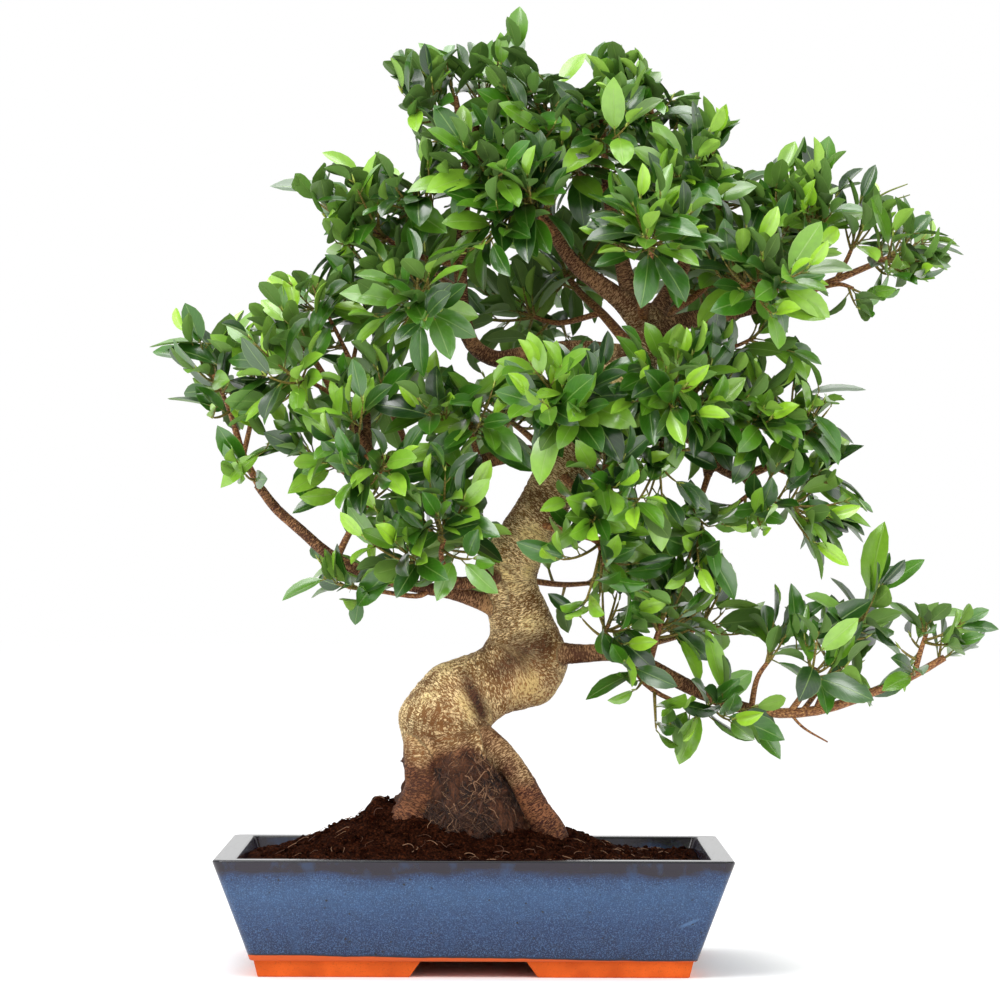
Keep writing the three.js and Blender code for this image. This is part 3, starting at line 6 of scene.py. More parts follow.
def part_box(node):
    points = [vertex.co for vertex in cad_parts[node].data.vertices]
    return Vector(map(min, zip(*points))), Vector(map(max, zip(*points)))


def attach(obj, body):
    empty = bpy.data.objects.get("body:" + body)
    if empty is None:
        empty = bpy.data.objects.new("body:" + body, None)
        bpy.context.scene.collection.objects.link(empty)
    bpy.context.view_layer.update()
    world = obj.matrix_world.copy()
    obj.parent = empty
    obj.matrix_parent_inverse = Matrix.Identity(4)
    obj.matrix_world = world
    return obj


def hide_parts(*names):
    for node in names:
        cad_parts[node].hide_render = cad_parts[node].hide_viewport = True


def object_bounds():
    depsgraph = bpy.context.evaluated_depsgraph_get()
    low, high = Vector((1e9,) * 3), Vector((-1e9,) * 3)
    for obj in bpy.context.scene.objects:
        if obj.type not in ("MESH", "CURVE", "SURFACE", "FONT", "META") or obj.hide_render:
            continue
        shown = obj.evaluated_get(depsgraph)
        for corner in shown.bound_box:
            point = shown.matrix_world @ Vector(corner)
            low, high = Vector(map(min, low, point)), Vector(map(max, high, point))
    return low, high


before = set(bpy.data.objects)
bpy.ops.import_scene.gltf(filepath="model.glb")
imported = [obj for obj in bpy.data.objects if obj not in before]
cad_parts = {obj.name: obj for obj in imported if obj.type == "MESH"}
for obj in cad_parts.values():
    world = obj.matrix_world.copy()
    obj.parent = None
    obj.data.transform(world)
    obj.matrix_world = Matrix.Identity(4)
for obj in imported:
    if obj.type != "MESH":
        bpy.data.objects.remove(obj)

# Banyan bonsai in a glazed tray. Lists are in millimetres from the middle of the pot's foot plane,
# x to the right, y away from the front, z up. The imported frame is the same, moved sideways.

cadBox = [list(corner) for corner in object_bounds()]
potLow, potHigh = (Vector(corner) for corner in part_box("pot"))
potMiddle = Vector(((potLow.x + potHigh.x) / 2, (potLow.y + potHigh.y) / 2, 0))
mm = 0.001
perMetre = 1000  # millimetres


def spot(x, y, z):
    return Vector((x, y, z)) * mm + potMiddle


def drawer(seed):  # the part's own seeded draws, from 0 up to 1
    factor, shift, span = 1664525, 1013904223, 2 ** 32
    state = [seed % span]

    def draw():
        state[0] = (state[0] * factor + shift) % span
        return state[0] / span
    return draw


def spread(draw, width):  # a draw evenly about 0
    return (draw() - 0.5) * width


# Wood and foliage as the solids have them.
# left x, left z, right x, right z, depth share, middle y
trunkRings = [
    (-56, 62, 58, 62, 0.85, 2), (-66, 112, 66, 112, 0.82, 2), (-66, 136, 62, 134, 0.74, 4),
    (-62, 154, 52, 149, 0.7, 5), (-60, 168, 45, 168, 0.7, 4), (-64, 186, 34, 186, 0.76, 1),
    (-66, 202, 26, 200, 0.82, -3), (-70, 219, 15, 214, 0.86, -7), (-67, 237, 17, 220, 0.88, -9),
    (-40, 270, 30, 229, 0.92, -5), (-14, 280, 42, 232, 0.94, -1), (4, 287, 55, 235, 0.96, 3),
    (10, 295, 68, 240, 0.95, 6), (13, 302, 80, 257, 0.94, 8), (13, 308, 86, 276, 0.94, 8),
    (12, 314, 79, 301, 0.94, 7), (7, 346, 57, 345, 0.95, 3), (6, 368, 59, 363, 0.95, 2),
    (14, 386, 67, 380, 0.94, 2), (26, 404, 76, 398, 0.94, 3), (38, 422, 86, 415, 0.94, 4),
    (50, 446, 97, 434, 0.94, 5), (64, 470, 111, 455, 0.94, 6), (78, 493, 128, 476, 0.92, 8),
    (91, 516, 147, 499, 0.88, 9), (106, 538, 157, 523, 0.88, 9), (136, 572, 172, 566, 0.9, 6),
    (144, 588, 171, 588, 0.9, 5), (139, 602, 161, 606, 0.9, 3),
]

limbs = {
    "rootRight": [
        (6, -24, 212, 10), (21, -30, 197, 11.5), (34, -34, 182, 11.5), (44, -36, 167, 11.5),
        (51, -37, 153, 12), (59, -36, 139, 13), (70, -35, 122, 14), (80, -32, 100, 12),
    ],
    "rootLeft": [
        (-46, -16, 214, 18), (-48, -22, 196, 18), (-49, -28, 180, 16), (-48, -32, 164, 15.5),
        (-53, -35, 147, 17), (-62, -37, 128, 19), (-72, -38, 104, 15),
    ],
    "rootBackLeft": [
        (-30, 18, 205, 15), (-42, 32, 178, 14), (-54, 44, 150, 15), (-68, 54, 124, 15), (-80, 60, 100, 11),
    ],
    "rootBackRight": [
        (8, 16, 205, 13), (24, 32, 180, 13), (40, 46, 152, 13), (56, 56, 124, 13), (68, 62, 100, 10),
    ],
    "rootFront": [
        (-12, -34, 172, 6), (-9, -46, 152, 7), (-6, -52, 132, 8.5), (-8, -58, 106, 8),
    ],
    "lowLeft": [
        (24, -2, 323, 11), (6, -5, 331, 8.4), (-20, -7, 339, 6.8), (-50, -9, 344, 6.2),
        (-80, -10, 351, 5.9), (-110, -8, 361, 5.7), (-137, -6, 376, 5.6), (-160, -4, 396, 5.3),
        (-182, -2, 415, 5), (-200, 0, 438, 4.6),
    ],
    "frontLeft": [
        (27, -10, 356, 9), (8, -20, 352, 7), (-10, -28, 348, 6.2), (-25, -36, 350, 6),
    ],
    "midLeft": [
        (78, 0, 456, 12), (58, -5, 464, 9), (41, -10, 467, 8), (22, -15, 463, 7.5), (-6, -22, 456, 7),
        (-36, -28, 455, 6.5), (-71, -32, 456, 6), (-95, -34, 465, 5.7), (-108, -36, 484, 5.2),
        (-116, -38, 502, 4.8),
    ],
    "midLeftFork": [
        (-98, -34, 467, 4.6), (-99, -28, 490, 4.3), (-100, -24, 506, 4),
    ],
    "highLeft": [
        (128, 5, 556, 12), (100, 0, 561, 10), (68, -5, 560, 9), (41, -8, 556, 8.5), (18, -10, 553, 8),
        (-3, -8, 566, 7.5), (-12, -5, 593, 7), (-14, 0, 621, 6.5), (-14, 2, 653, 6), (-11, 2, 690, 5.5),
        (-9, 0, 732, 5),
    ],
    "lowRight": [
        (52, -4, 284, 16), (78, -11, 284, 11), (100, -14, 284, 8.6), (125, -16, 285, 8.2),
        (148, -18, 277, 8), (172, -20, 266, 7.5), (200, -20, 252, 6.8), (228, -18, 240, 6.2),
        (250, -16, 234, 5.6),
    ],
    "midRight": [
        (122, 8, 512, 14), (160, 14, 502, 9), (187, 18, 489, 8.5), (206, 20, 479, 8), (219, 20, 462, 7.5),
        (238, 22, 450, 7), (254, 24, 449, 6.2),
    ],
    "midRightStub": [
        (208, 20, 478, 6), (212, 19, 462, 5.2), (214, 18, 445, 4.6),
    ],
    "highRight": [
        (150, 2, 572, 13), (183, 5, 586, 9), (206, 8, 592, 8), (228, 10, 595, 7), (256, 10, 602, 6),
        (284, 8, 610, 5.4), (306, 5, 617, 4.8),
    ],
    "highRightStub": [
        (292, 10, 612, 4), (301, 12, 601, 3.2), (311, 12, 590, 2.6),
    ],
    "crownLeft": [
        (150, 2, 590, 13), (134, -5, 606, 10), (114, -8, 621, 8.5), (94, -10, 636, 7.5),
        (77, -10, 658, 6.5), (64, -8, 685, 5.5), (55, -6, 712, 4.8),
    ],
    "crownMiddle": [
        (146, 8, 598, 11), (138, 14, 626, 8.4), (131, 18, 658, 7), (123, 18, 694, 6), (119, 15, 726, 5.2),
    ],
    "crownRight": [
        (158, 8, 584, 11), (174, 15, 611, 8), (190, 20, 639, 7), (200, 22, 667, 6), (198, 22, 694, 5.2),
        (192, 21, 716, 4.6),
    ],
}

sprays = {
    "left_end": ([
        [(-198, 0, 436, 3.6), (-213, 2, 464, 3.4), (-221, 3, 490, 3)],
        [(-221, 3, 490, 2.6), (-228, -8, 512, 2.2), (-240, -12, 538, 1.8)],
        [(-213, 2, 464, 2.6), (-205, -4, 500, 2.2), (-203, -6, 530, 1.8)],
    ], [
        (-264, -12, 574), (-262, -30, 520), (-222, -14, 562), (-242, 18, 556), (-206, -24, 556),
        (-240, -26, 498), (-190, 24, 548), (-214, 34, 530), (-216, -26, 456), (-232, 26, 520),
    ]),
    "left_inner": ([
        [(-126, -6, 372, 3.4), (-114, -10, 396, 3), (-98, -14, 420, 2.4)],
        [(-98, -14, 420, 1.9), (-120, -22, 448, 1.7), (-150, -28, 464, 1.5)],
    ], [
        (-196, -28, 486), (-130, -24, 428), (-152, -40, 470), (-84, -6, 448), (-168, -12, 488),
        (-112, 8, 440),
    ]),
    "left_low": ([
        [(-40, -9, 342, 2.6), (-54, -16, 336, 2.4), (-85, -20, 340, 2), (-116, -22, 344, 1.8)],
    ], [
        (-138, -24, 353), (-104, -34, 333), (-126, 4, 350), (-92, -8, 362),
    ]),
    "front_left": ([
        [(-22, -35, 350, 4), (-38, -43, 361, 3.6), (-50, -50, 376, 3)],
        [(-22, -35, 350, 3), (-31, -50, 374, 2.4), (-24, -60, 400, 2)],
    ], [
        (-17, -70, 458), (-88, -76, 412), (-40, -86, 434), (-4, -76, 424), (-66, -66, 438),
        (-98, -84, 388), (-48, -92, 404), (-2, -52, 396), (-70, -92, 384),
    ]),
    "mid_left_end": ([
        [(-114, -38, 498, 3.6), (-128, -40, 518, 3.4), (-138, -42, 536, 3), (-150, -44, 556, 2.4)],
        [(-128, -40, 518, 2.4), (-146, -54, 528, 2), (-162, -64, 534, 1.6)],
    ], [
        (-162, -56, 590), (-180, -72, 546), (-182, -50, 568), (-146, -38, 588), (-172, -66, 514),
        (-160, -88, 528), (-150, -72, 552),
    ]),
    "mid_left_fork": ([
        [(-100, -25, 502, 3.3), (-105, -22, 526, 3), (-113, -18, 546, 2.6), (-120, -16, 562, 2.2)],
        [(-120, -16, 562, 2), (-130, -20, 582, 1.8), (-140, -24, 600, 1.6)],
        [(-113, -18, 546, 2.2), (-108, -8, 574, 1.8), (-107, -6, 592, 1.5)],
    ], [
        (-154, -28, 622), (-114, -8, 624), (-168, -12, 608), (-98, 10, 610), (-130, 10, 606),
        (-164, 14, 582), (-138, 22, 570),
    ]),
    "mid_left_front": ([
        [(-88, -34, 462, 3.2), (-102, -60, 466, 2.8), (-112, -82, 474, 2.3)],
        [(-102, -60, 466, 2.3), (-90, -82, 456, 2), (-84, -96, 446, 1.6)],
    ], [
        (-146, -92, 496), (-72, -112, 452), (-126, -106, 478), (-148, -72, 506), (-96, -112, 434),
        (-60, -92, 436), (-112, -100, 508), (-134, -84, 456),
    ]),
    "mid_left_rise": ([
        [(-62, -30, 456, 3.2), (-66, -14, 480, 2.8), (-72, 6, 498, 2.4)],
        [(-66, -14, 480, 2.4), (-76, -30, 500, 2), (-80, -42, 512, 1.7)],
        [(-72, 6, 498, 2.2), (-80, 50, 510, 2), (-88, 88, 520, 1.7)],
    ], [
        (-82, -52, 534), (-98, 120, 540), (-112, 96, 524), (-60, -28, 526), (-70, 110, 552),
        (-94, -60, 514), (-60, 60, 530), (-90, 56, 548), (-72, 128, 512),
    ]),
    "mid_left_root": ([
        [(4, -20, 458, 3.2), (-3, -34, 480, 2.8), (-5, -46, 498, 2.2)],
        [(-3, -34, 480, 2.2), (-20, -44, 492, 1.9), (-32, -50, 500, 1.6)],
    ], [
        (10, -56, 520), (-34, -60, 524), (30, -58, 510), (-8, -70, 528), (-50, -62, 504), (-26, -78, 506),
        (14, -76, 496),
    ]),
    "high_left_side": ([
        [(-10, -7, 582, 3.6), (-30, -14, 596, 3), (-52, -18, 614, 2.4)],
        [(-30, -14, 596, 2.6), (-46, -46, 600, 2.2), (-58, -70, 604, 1.8)],
    ], [
        (-122, -20, 660), (-72, -96, 622), (-94, -46, 592), (-90, -34, 638), (-42, -104, 624),
        (-88, -76, 588), (-66, -30, 640), (-60, -98, 594), (-112, -26, 616),
    ]),
    "high_left_out": ([
        [(-14, 0, 640, 3.4), (-42, 5, 644, 3), (-72, 8, 657, 2.5), (-96, 7, 674, 2)],
    ], [
        (-164, 2, 712), (-138, -14, 682), (-116, 26, 690), (-90, -12, 692), (-60, 24, 676), (-84, 34, 660),
    ]),
    "high_left_upper": ([
        [(-12, 1, 672, 3.2), (-38, 2, 684, 2.8), (-66, 8, 700, 2.3)],
    ], [
        (-112, 18, 724), (-92, 32, 716), (-60, -24, 716), (-44, -36, 728), (-80, -34, 694), (-76, 44, 702),
        (-40, 30, 718),
    ]),
    "high_left_back": ([
        [(-13, 0, 615, 3.4), (-30, 40, 628, 2.9), (-50, 82, 642, 2.3)],
    ], [
        (-86, 108, 662), (-44, 130, 668), (-104, 88, 642), (-66, 126, 632), (-54, 96, 690),
        (-30, 100, 640), (-80, 66, 616),
    ]),
    "high_left_top": ([
        [(-9, 0, 728, 4), (-14, 0, 762, 3.6), (-20, 0, 794, 2.6)],
        [(-9, 0, 728, 3.6), (-1, 5, 765, 3.2), (4, 7, 796, 2.8)],
        [(-14, 0, 762, 2.4), (-30, -6, 768, 2), (-42, -8, 778, 1.7)],
    ], [
        (-66, -12, 812), (-28, 0, 826), (22, -4, 832), (-50, 6, 790), (-12, 16, 812), (-56, -30, 768),
        (12, 22, 816), (-36, 14, 802), (-44, 24, 754),
    ]),
    "high_left_front": ([
        [(-10, 1, 702, 3), (2, -22, 720, 2.5), (10, -40, 734, 2)],
    ], [
        (14, -56, 762), (-30, -44, 752), (26, -66, 744), (-8, -68, 740), (-24, -60, 716), (6, -80, 722),
    ]),
    "crown_left_top": ([
        [(56, -6, 708, 4), (47, -4, 745, 3.2), (40, -2, 782, 2.4)],
        [(47, -4, 745, 2.4), (60, -6, 766, 2), (66, -8, 782, 1.6)],
    ], [
        (36, 0, 846), (88, -2, 812), (26, -44, 796), (48, -42, 798), (62, -14, 802), (22, -22, 818),
        (50, 18, 818), (74, 22, 792), (32, 28, 800), (42, -64, 774),
    ]),
    "crown_left_front": ([
        [(72, -10, 666, 3.4), (57, -30, 682, 2.8), (46, -50, 698, 2.2)],
        [(57, -30, 682, 2.2), (34, -38, 680, 1.9), (14, -44, 684, 1.6)],
    ], [
        (36, -74, 730), (62, -80, 724), (2, -52, 696), (24, -70, 706), (48, -98, 702), (-2, -40, 668),
        (28, -72, 668), (14, -28, 706), (70, -92, 690),
    ]),
    "crown_left_back": ([
        [(60, -7, 698, 3.2), (48, 32, 714, 2.7), (38, 66, 732, 2.1)],
    ], [
        (28, 92, 758), (58, 92, 752), (8, 80, 738), (40, 116, 728), (24, 50, 770), (66, 64, 772),
    ]),
    "crown_middle_top": ([
        [(119, 15, 722, 4), (116, 12, 762, 3), (113, 10, 792, 2.3)],
        [(118, 14, 738, 2.6), (112, -12, 752, 2.2), (107, -30, 762, 1.8)],
    ], [
        (112, 8, 826), (130, 0, 812), (98, -48, 782), (122, -52, 774), (98, 18, 806), (120, 34, 806),
        (88, -42, 762), (108, -68, 752), (136, -22, 780),
    ]),
    "crown_middle_left": ([
        [(121, 17, 708, 3), (100, 4, 720, 2.6), (84, -6, 732, 2)],
    ], [
        (66, -14, 748), (86, -34, 752), (80, 18, 762), (58, -20, 726), (96, -40, 730), (94, 36, 748),
    ]),
    "crown_middle_back": ([
        [(121, 17, 714, 3.2), (112, 52, 734, 2.6), (104, 84, 750, 2)],
    ], [
        (96, 106, 778), (120, 112, 770), (80, 98, 758), (104, 136, 746), (134, 84, 758), (100, 66, 786),
    ]),
    "crown_right_top": ([
        [(193, 21, 712, 4), (184, 20, 738, 3), (174, 16, 764, 2.2)],
        [(184, 20, 738, 2.6), (168, 8, 764, 2.2), (158, 0, 786, 1.8)],
    ], [
        (178, 10, 792), (154, -6, 808), (142, -16, 790), (190, 18, 786), (168, 6, 806), (152, 26, 796),
        (170, 40, 778), (148, -30, 768),
    ]),
    "crown_right_out": ([
        [(196, 22, 702, 3), (205, 18, 724, 2.6), (210, 14, 740, 2)],
    ], [
        (202, 6, 770), (226, 10, 758), (210, -14, 748), (216, 34, 744), (232, 0, 740),
    ]),
    "crown_right_front": ([
        [(199, 22, 684, 3.2), (190, -6, 702, 2.7), (183, -32, 718, 2.2)],
    ], [
        (172, -56, 738), (198, -60, 732), (154, -50, 724), (182, -80, 714), (210, -40, 710),
        (160, -78, 702),
    ]),
    "crown_right_back": ([
        [(200, 22, 664, 3.6), (212, 34, 684, 3), (232, 26, 702, 2.2)],
        [(212, 34, 684, 2.6), (212, 62, 702, 2.2), (210, 90, 718, 1.8)],
    ], [
        (242, 22, 722), (206, 116, 742), (256, 10, 704), (228, 40, 728), (230, 106, 732), (188, 108, 730),
        (214, 132, 708), (244, -8, 696), (240, 70, 712),
    ]),
    "crown_front": ([
        [(153, -2, 590, 5), (151, -38, 608, 4.2), (155, -70, 634, 3.4), (160, -96, 660, 2.4)],
    ], [
        (164, -122, 694), (140, -128, 684), (190, -118, 678), (148, -142, 656), (178, -134, 646),
        (126, -104, 652), (128, -84, 690), (170, -92, 706),
    ]),
    "high_right_end": ([
        [(303, 5, 616, 3.8), (330, 0, 627, 3.4), (361, -5, 640, 2.8), (384, -8, 650, 2.2)],
        [(330, 0, 627, 2.4), (340, 4, 646, 2), (347, 6, 662, 1.7)],
        [(316, 3, 620, 2.4), (332, -14, 622, 2), (344, -20, 618, 1.6)],
    ], [
        (408, -8, 664), (352, 6, 698), (424, -2, 652), (362, -24, 612), (366, -4, 682), (338, 22, 686),
        (386, -26, 648), (346, -36, 600), (404, 18, 646), (352, -22, 672), (392, 6, 672), (374, -34, 630),
    ]),
    "high_right_rise": ([
        [(298, 6, 614, 3.2), (306, 2, 648, 2.7), (308, 0, 680, 2.1)],
    ], [
        (318, -4, 722), (302, 10, 714), (330, 8, 704), (298, -24, 694), (322, -22, 684), (306, 28, 690),
    ]),
    "high_right_inner": ([
        [(274, 9, 607, 3.2), (276, 8, 640, 2.7), (279, 10, 674, 2.1)],
    ], [
        (282, 12, 726), (266, 22, 718), (262, -14, 694), (290, 26, 708), (250, -12, 680), (274, -30, 672),
        (292, -14, 688), (260, 28, 672),
    ]),
    "high_right_front": ([
        [(210, 8, 592, 4), (222, -26, 606, 3.4), (240, -50, 618, 2.6)],
        [(240, -50, 618, 2.4), (258, -72, 622, 1.9)],
    ], [
        (294, -78, 640), (226, -56, 660), (278, -92, 626), (244, -62, 668), (204, -64, 658),
        (222, -86, 640), (256, -102, 642), (272, -66, 604), (238, -92, 612),
    ]),
    "high_right_back": ([
        [(224, 10, 594, 4), (240, 46, 612, 3.2), (256, 80, 632, 2.4)],
    ], [
        (310, 88, 648), (238, 106, 668), (298, 112, 640), (262, 100, 678), (214, 104, 654),
        (268, 134, 650), (280, 60, 654), (240, 140, 632),
    ]),
    "high_right_under": ([
        [(186, 6, 586, 3.4), (194, -8, 566, 2.8), (206, -14, 556, 2.2)],
        [(206, -14, 556, 2), (234, -8, 564, 1.8), (256, -4, 574, 1.5)],
    ], [
        (280, -8, 566), (212, -30, 540), (264, -18, 588), (236, -24, 548), (196, -44, 546), (224, 4, 546),
        (254, 14, 560),
    ]),
    "mid_right_end": ([
        [(252, 24, 449, 4.4), (272, 26, 458, 3.8), (285, 28, 472, 3), (291, 24, 492, 2.2)],
        [(272, 26, 458, 2.6), (288, 26, 450, 2.2), (302, 26, 454, 1.8)],
    ], [
        (318, 10, 514), (328, 26, 468), (292, 12, 538), (304, 22, 488), (276, 2, 516), (312, 44, 500),
        (312, 6, 450), (296, 48, 520), (280, 50, 490),
    ]),
    "mid_right_low": ([
        [(244, 22, 449, 3.6), (256, 4, 434, 3), (274, -4, 424, 2.4), (296, -6, 419, 1.9)],
        [(256, 4, 434, 2.4), (242, -10, 424, 2)],
    ], [
        (338, -4, 424), (300, -22, 408), (322, -14, 408), (222, -22, 412), (284, -18, 440),
        (246, -28, 408), (312, 12, 436), (266, -34, 416),
    ]),
    "mid_right_rise": ([
        [(216, 20, 468, 3.2), (238, 8, 487, 2.7), (254, -2, 504, 2.1)],
    ], [
        (272, -14, 526), (256, -34, 530), (280, -22, 500), (240, -22, 518), (262, 12, 536),
        (248, -40, 494),
    ]),
    "mid_right_front": ([
        [(168, 14, 498, 4), (178, -14, 497, 3.4), (190, -36, 504, 2.6)],
        [(178, -14, 497, 2.6), (168, -44, 474, 2.2), (166, -60, 452, 1.8)],
    ], [
        (230, -50, 536), (166, -66, 486), (212, -64, 546), (148, -76, 450), (196, -60, 526),
        (182, -70, 440), (244, -52, 516), (198, -56, 470), (168, -82, 424), (214, -78, 506),
    ]),
    "mid_right_back": ([
        [(152, 14, 506, 4.4), (172, 56, 512, 3.6), (200, 90, 514, 2.6)],
    ], [
        (256, 118, 530), (200, 132, 524), (232, 128, 540), (268, 98, 512), (176, 138, 540),
        (236, 124, 502), (188, 132, 492), (150, 118, 506), (226, 96, 558),
    ]),
    "mid_right_stub": ([
        [(214, 18, 448, 3.2), (206, -2, 426, 2.7), (197, -14, 404, 2.2)],
    ], [
        (204, -30, 396), (184, -26, 376), (222, -16, 396), (192, -42, 362), (212, 8, 376), (178, -40, 402),
    ]),
    "centre_left": ([
        [(100, -14, 497, 4.2), (96, -48, 502, 3.4), (90, -78, 512, 2.4)],
    ], [
        (78, -108, 538), (102, -116, 528), (62, -90, 524), (92, -124, 500), (58, -100, 498),
        (112, -92, 540), (70, -76, 550),
    ]),
    "centre_right": ([
        [(140, -10, 529, 4.2), (154, -46, 529, 3.4), (172, -74, 525, 2.4)],
    ], [
        (194, -104, 526), (170, -116, 540), (204, -92, 504), (178, -118, 506), (150, -98, 550),
        (188, -76, 552), (142, -96, 512),
    ]),
    "centre_low": ([
        [(80, -14, 446, 4), (92, -38, 434, 3.4), (99, -54, 428, 2.8)],
        [(99, -54, 428, 2.2), (112, -62, 438, 2), (117, -68, 456, 1.7)],
    ], [
        (118, -74, 490), (138, -78, 436), (102, -84, 452), (84, -84, 424), (132, -92, 460),
        (110, -86, 408), (96, -72, 476),
    ]),
    "centre_foot": ([
        [(60, -14, 402, 3.6), (86, -38, 394, 3), (110, -52, 386, 2.6), (116, -58, 364, 1.8)],
    ], [
        (112, -66, 334), (142, -54, 366), (88, -66, 398), (152, -64, 342), (132, -70, 396),
        (118, -84, 368), (148, -40, 388),
    ]),
    "root_right_start": ([
        [(115, -15, 289, 3.4), (117, -22, 302, 2.4), (122, -26, 311, 1.8)],
    ], [
        (150, -32, 322), (110, -38, 328), (96, -24, 318), (132, -8, 334), (138, -46, 308),
    ]),
    "low_right_rise": ([
        [(158, -19, 274, 4), (164, -22, 294, 3), (170, -26, 314, 2.2)],
        [(164, -22, 294, 2.6), (190, 18, 300, 2.2), (212, 50, 308, 1.8)],
    ], [
        (174, -32, 342), (208, -18, 334), (154, -44, 338), (234, 80, 324), (190, -36, 322), (212, 92, 336),
        (154, -2, 336), (194, 66, 328), (226, 44, 340),
    ]),
    "low_right_hang": ([
        [(142, -17, 278, 3), (155, -26, 257, 2.4), (178, -34, 243, 2.1), (205, -36, 236, 1.9),
        (228, -34, 236, 1.6)],
    ], [
        (252, -34, 236), (196, -42, 222), (176, -36, 226), (214, -46, 222), (146, -36, 252),
        (226, -44, 250),
    ]),
    "low_right_end": ([
        [(246, -16, 235, 4.8), (262, -14, 232, 4.8), (285, -12, 230, 4.7), (315, -10, 233, 4.6),
        (345, -8, 242, 4.3), (375, -5, 254, 4.1), (402, -2, 265, 3.9), (430, 0, 281, 3.2)],
        [(252, -15, 234, 3), (258, -10, 262, 2.4), (272, -6, 282, 1.8)],
        [(288, -12, 231, 3.2), (302, -16, 252, 2.6), (311, -18, 272, 2)],
        [(300, -12, 233, 2.8), (320, 18, 256, 2.3), (334, 40, 276, 1.8)],
        [(312, -10, 234, 3), (328, -4, 270, 2.6), (345, -2, 302, 2.1)],
        [(402, -2, 266, 3), (408, -4, 288, 2.4), (413, -6, 304, 2)],
    ], [
        (368, 0, 348), (442, -10, 312), (284, -4, 318), (414, -8, 324), (350, 58, 300), (300, -30, 298),
        (356, 8, 326), (428, 8, 298), (268, 4, 300), (330, -12, 282), (324, -34, 276), (388, -10, 290),
        (314, 48, 300), (354, 30, 274), (322, -10, 308), (400, 14, 300),
    ]),
    "back_left": ([
        [(146, 6, 560, 6), (118, 50, 596, 4.4), (96, 92, 620, 3.4), (80, 124, 644, 2.4)],
        [(114, 56, 598, 3), (76, 76, 590, 2.5), (44, 92, 600, 2)],
    ], [
        (66, 156, 680), (20, 120, 618), (94, 158, 670), (46, 138, 660), (48, 136, 612), (74, 170, 640),
        (108, 140, 642), (10, 96, 594), (66, 116, 586), (112, 110, 690),
    ]),
    "back_right": ([
        [(158, 10, 580, 5.5), (178, 56, 598, 4.4), (204, 94, 616, 3.4), (226, 124, 636, 2.4)],
    ], [
        (246, 154, 668), (220, 164, 664), (270, 134, 656), (206, 152, 634), (238, 168, 628),
        (180, 120, 640), (190, 140, 676), (230, 120, 600),
    ]),
    "back_middle": ([
        [(82, 12, 452, 5), (66, 56, 468, 4), (48, 94, 486, 3), (24, 130, 506, 2.2)],
    ], [
        (-14, 160, 534), (22, 172, 540), (48, 154, 532), (0, 158, 504), (34, 170, 502), (-16, 128, 514),
        (60, 128, 550), (70, 140, 500),
    ]),
    "back_low": ([
        [(42, 14, 346, 5), (48, 48, 350, 4.2)],
        [(48, 48, 350, 3.2), (24, 74, 366, 2.6), (2, 94, 386, 2)],
        [(48, 48, 350, 3.2), (82, 70, 346, 2.6), (116, 92, 348, 2)],
    ], [
        (-26, 120, 408), (150, 122, 364), (6, 134, 414), (124, 132, 374), (-32, 94, 388), (166, 100, 346),
        (24, 116, 392), (100, 118, 358), (64, 102, 380),
    ]),
}

# The crown as seen from the front, in the plane of the trunk: its lobes and notches (x, z) from the low
# left limb round over the top, the main gaps that show the background (x, z, radius), and the leaves that
# stand out alone on its rim (foot x and z, tip x and z, width as seen).
crownOutline = [
    (-234, 434), (-234, 476), (-245, 505), (-285, 516), (-260, 530), (-300, 560), (-300, 590),
    (-265, 606), (-240, 575), (-215, 615), (-170, 642), (-150, 625), (-140, 655), (-145, 695),
    (-185, 712), (-140, 740), (-105, 722), (-90, 750), (-75, 722), (-50, 722), (-65, 775), (-90, 830),
    (-50, 842), (5, 845), (30, 875), (48, 875), (45, 825), (60, 808), (95, 835), (120, 845), (145, 838),
    (190, 795), (210, 800), (245, 774), (215, 745), (250, 720), (290, 755), (325, 760), (360, 742),
    (372, 715), (415, 692), (450, 650), (415, 625), (375, 612), (372, 590), (275, 590), (320, 548),
    (302, 525), (358, 520), (300, 502), (355, 476), (328, 450), (358, 425), (378, 405), (385, 372),
    (415, 368), (372, 332), (425, 330), (445, 346), (480, 308), (435, 265), (330, 222), (290, 222),
    (280, 184), (240, 205), (205, 225), (186, 180), (165, 215), (165, 242), (100, 238), (135, 270),
    (80, 300), (50, 375), (20, 330), (-95, 332), (-110, 306), (-125, 335), (-180, 328), (-140, 362),
    (-200, 430),
]
crownWindows = [
    (30, 440, 17), (18, 416, 13), (44, 488, 11), (-10, 542, 8), (10, 545, 8), (60, 536, 7), (87, 355, 23),
    (102, 374, 11), (100, 308, 13), (125, 332, 11), (-137, 393, 11), (-118, 380, 8), (-75, 372, 8),
    (-8, 368, 9), (-33, 398, 8), (-180, 455, 10), (-134, 441, 10), (-210, 479, 8), (-190, 534, 7),
    (-150, 477, 7), (94, 811, 11), (152, 433, 10), (178, 435, 12), (220, 437, 13), (206, 520, 9),
    (160, 555, 7), (250, 578, 14), (270, 547, 8), (288, 520, 8), (197, 345, 8), (180, 290, 9),
    (246, 285, 18), (262, 257, 12), (391, 296, 11), (368, 284, 10), (240, 382, 15), (261, 372, 20),
    (250, 348, 16), (290, 350, 15), (343, 380, 10), (217, 396, 9), (222, 318, 12), (284, 393, 10),
    (362, 268, 10), (206, 442, 8), (415, 290, 8),
]
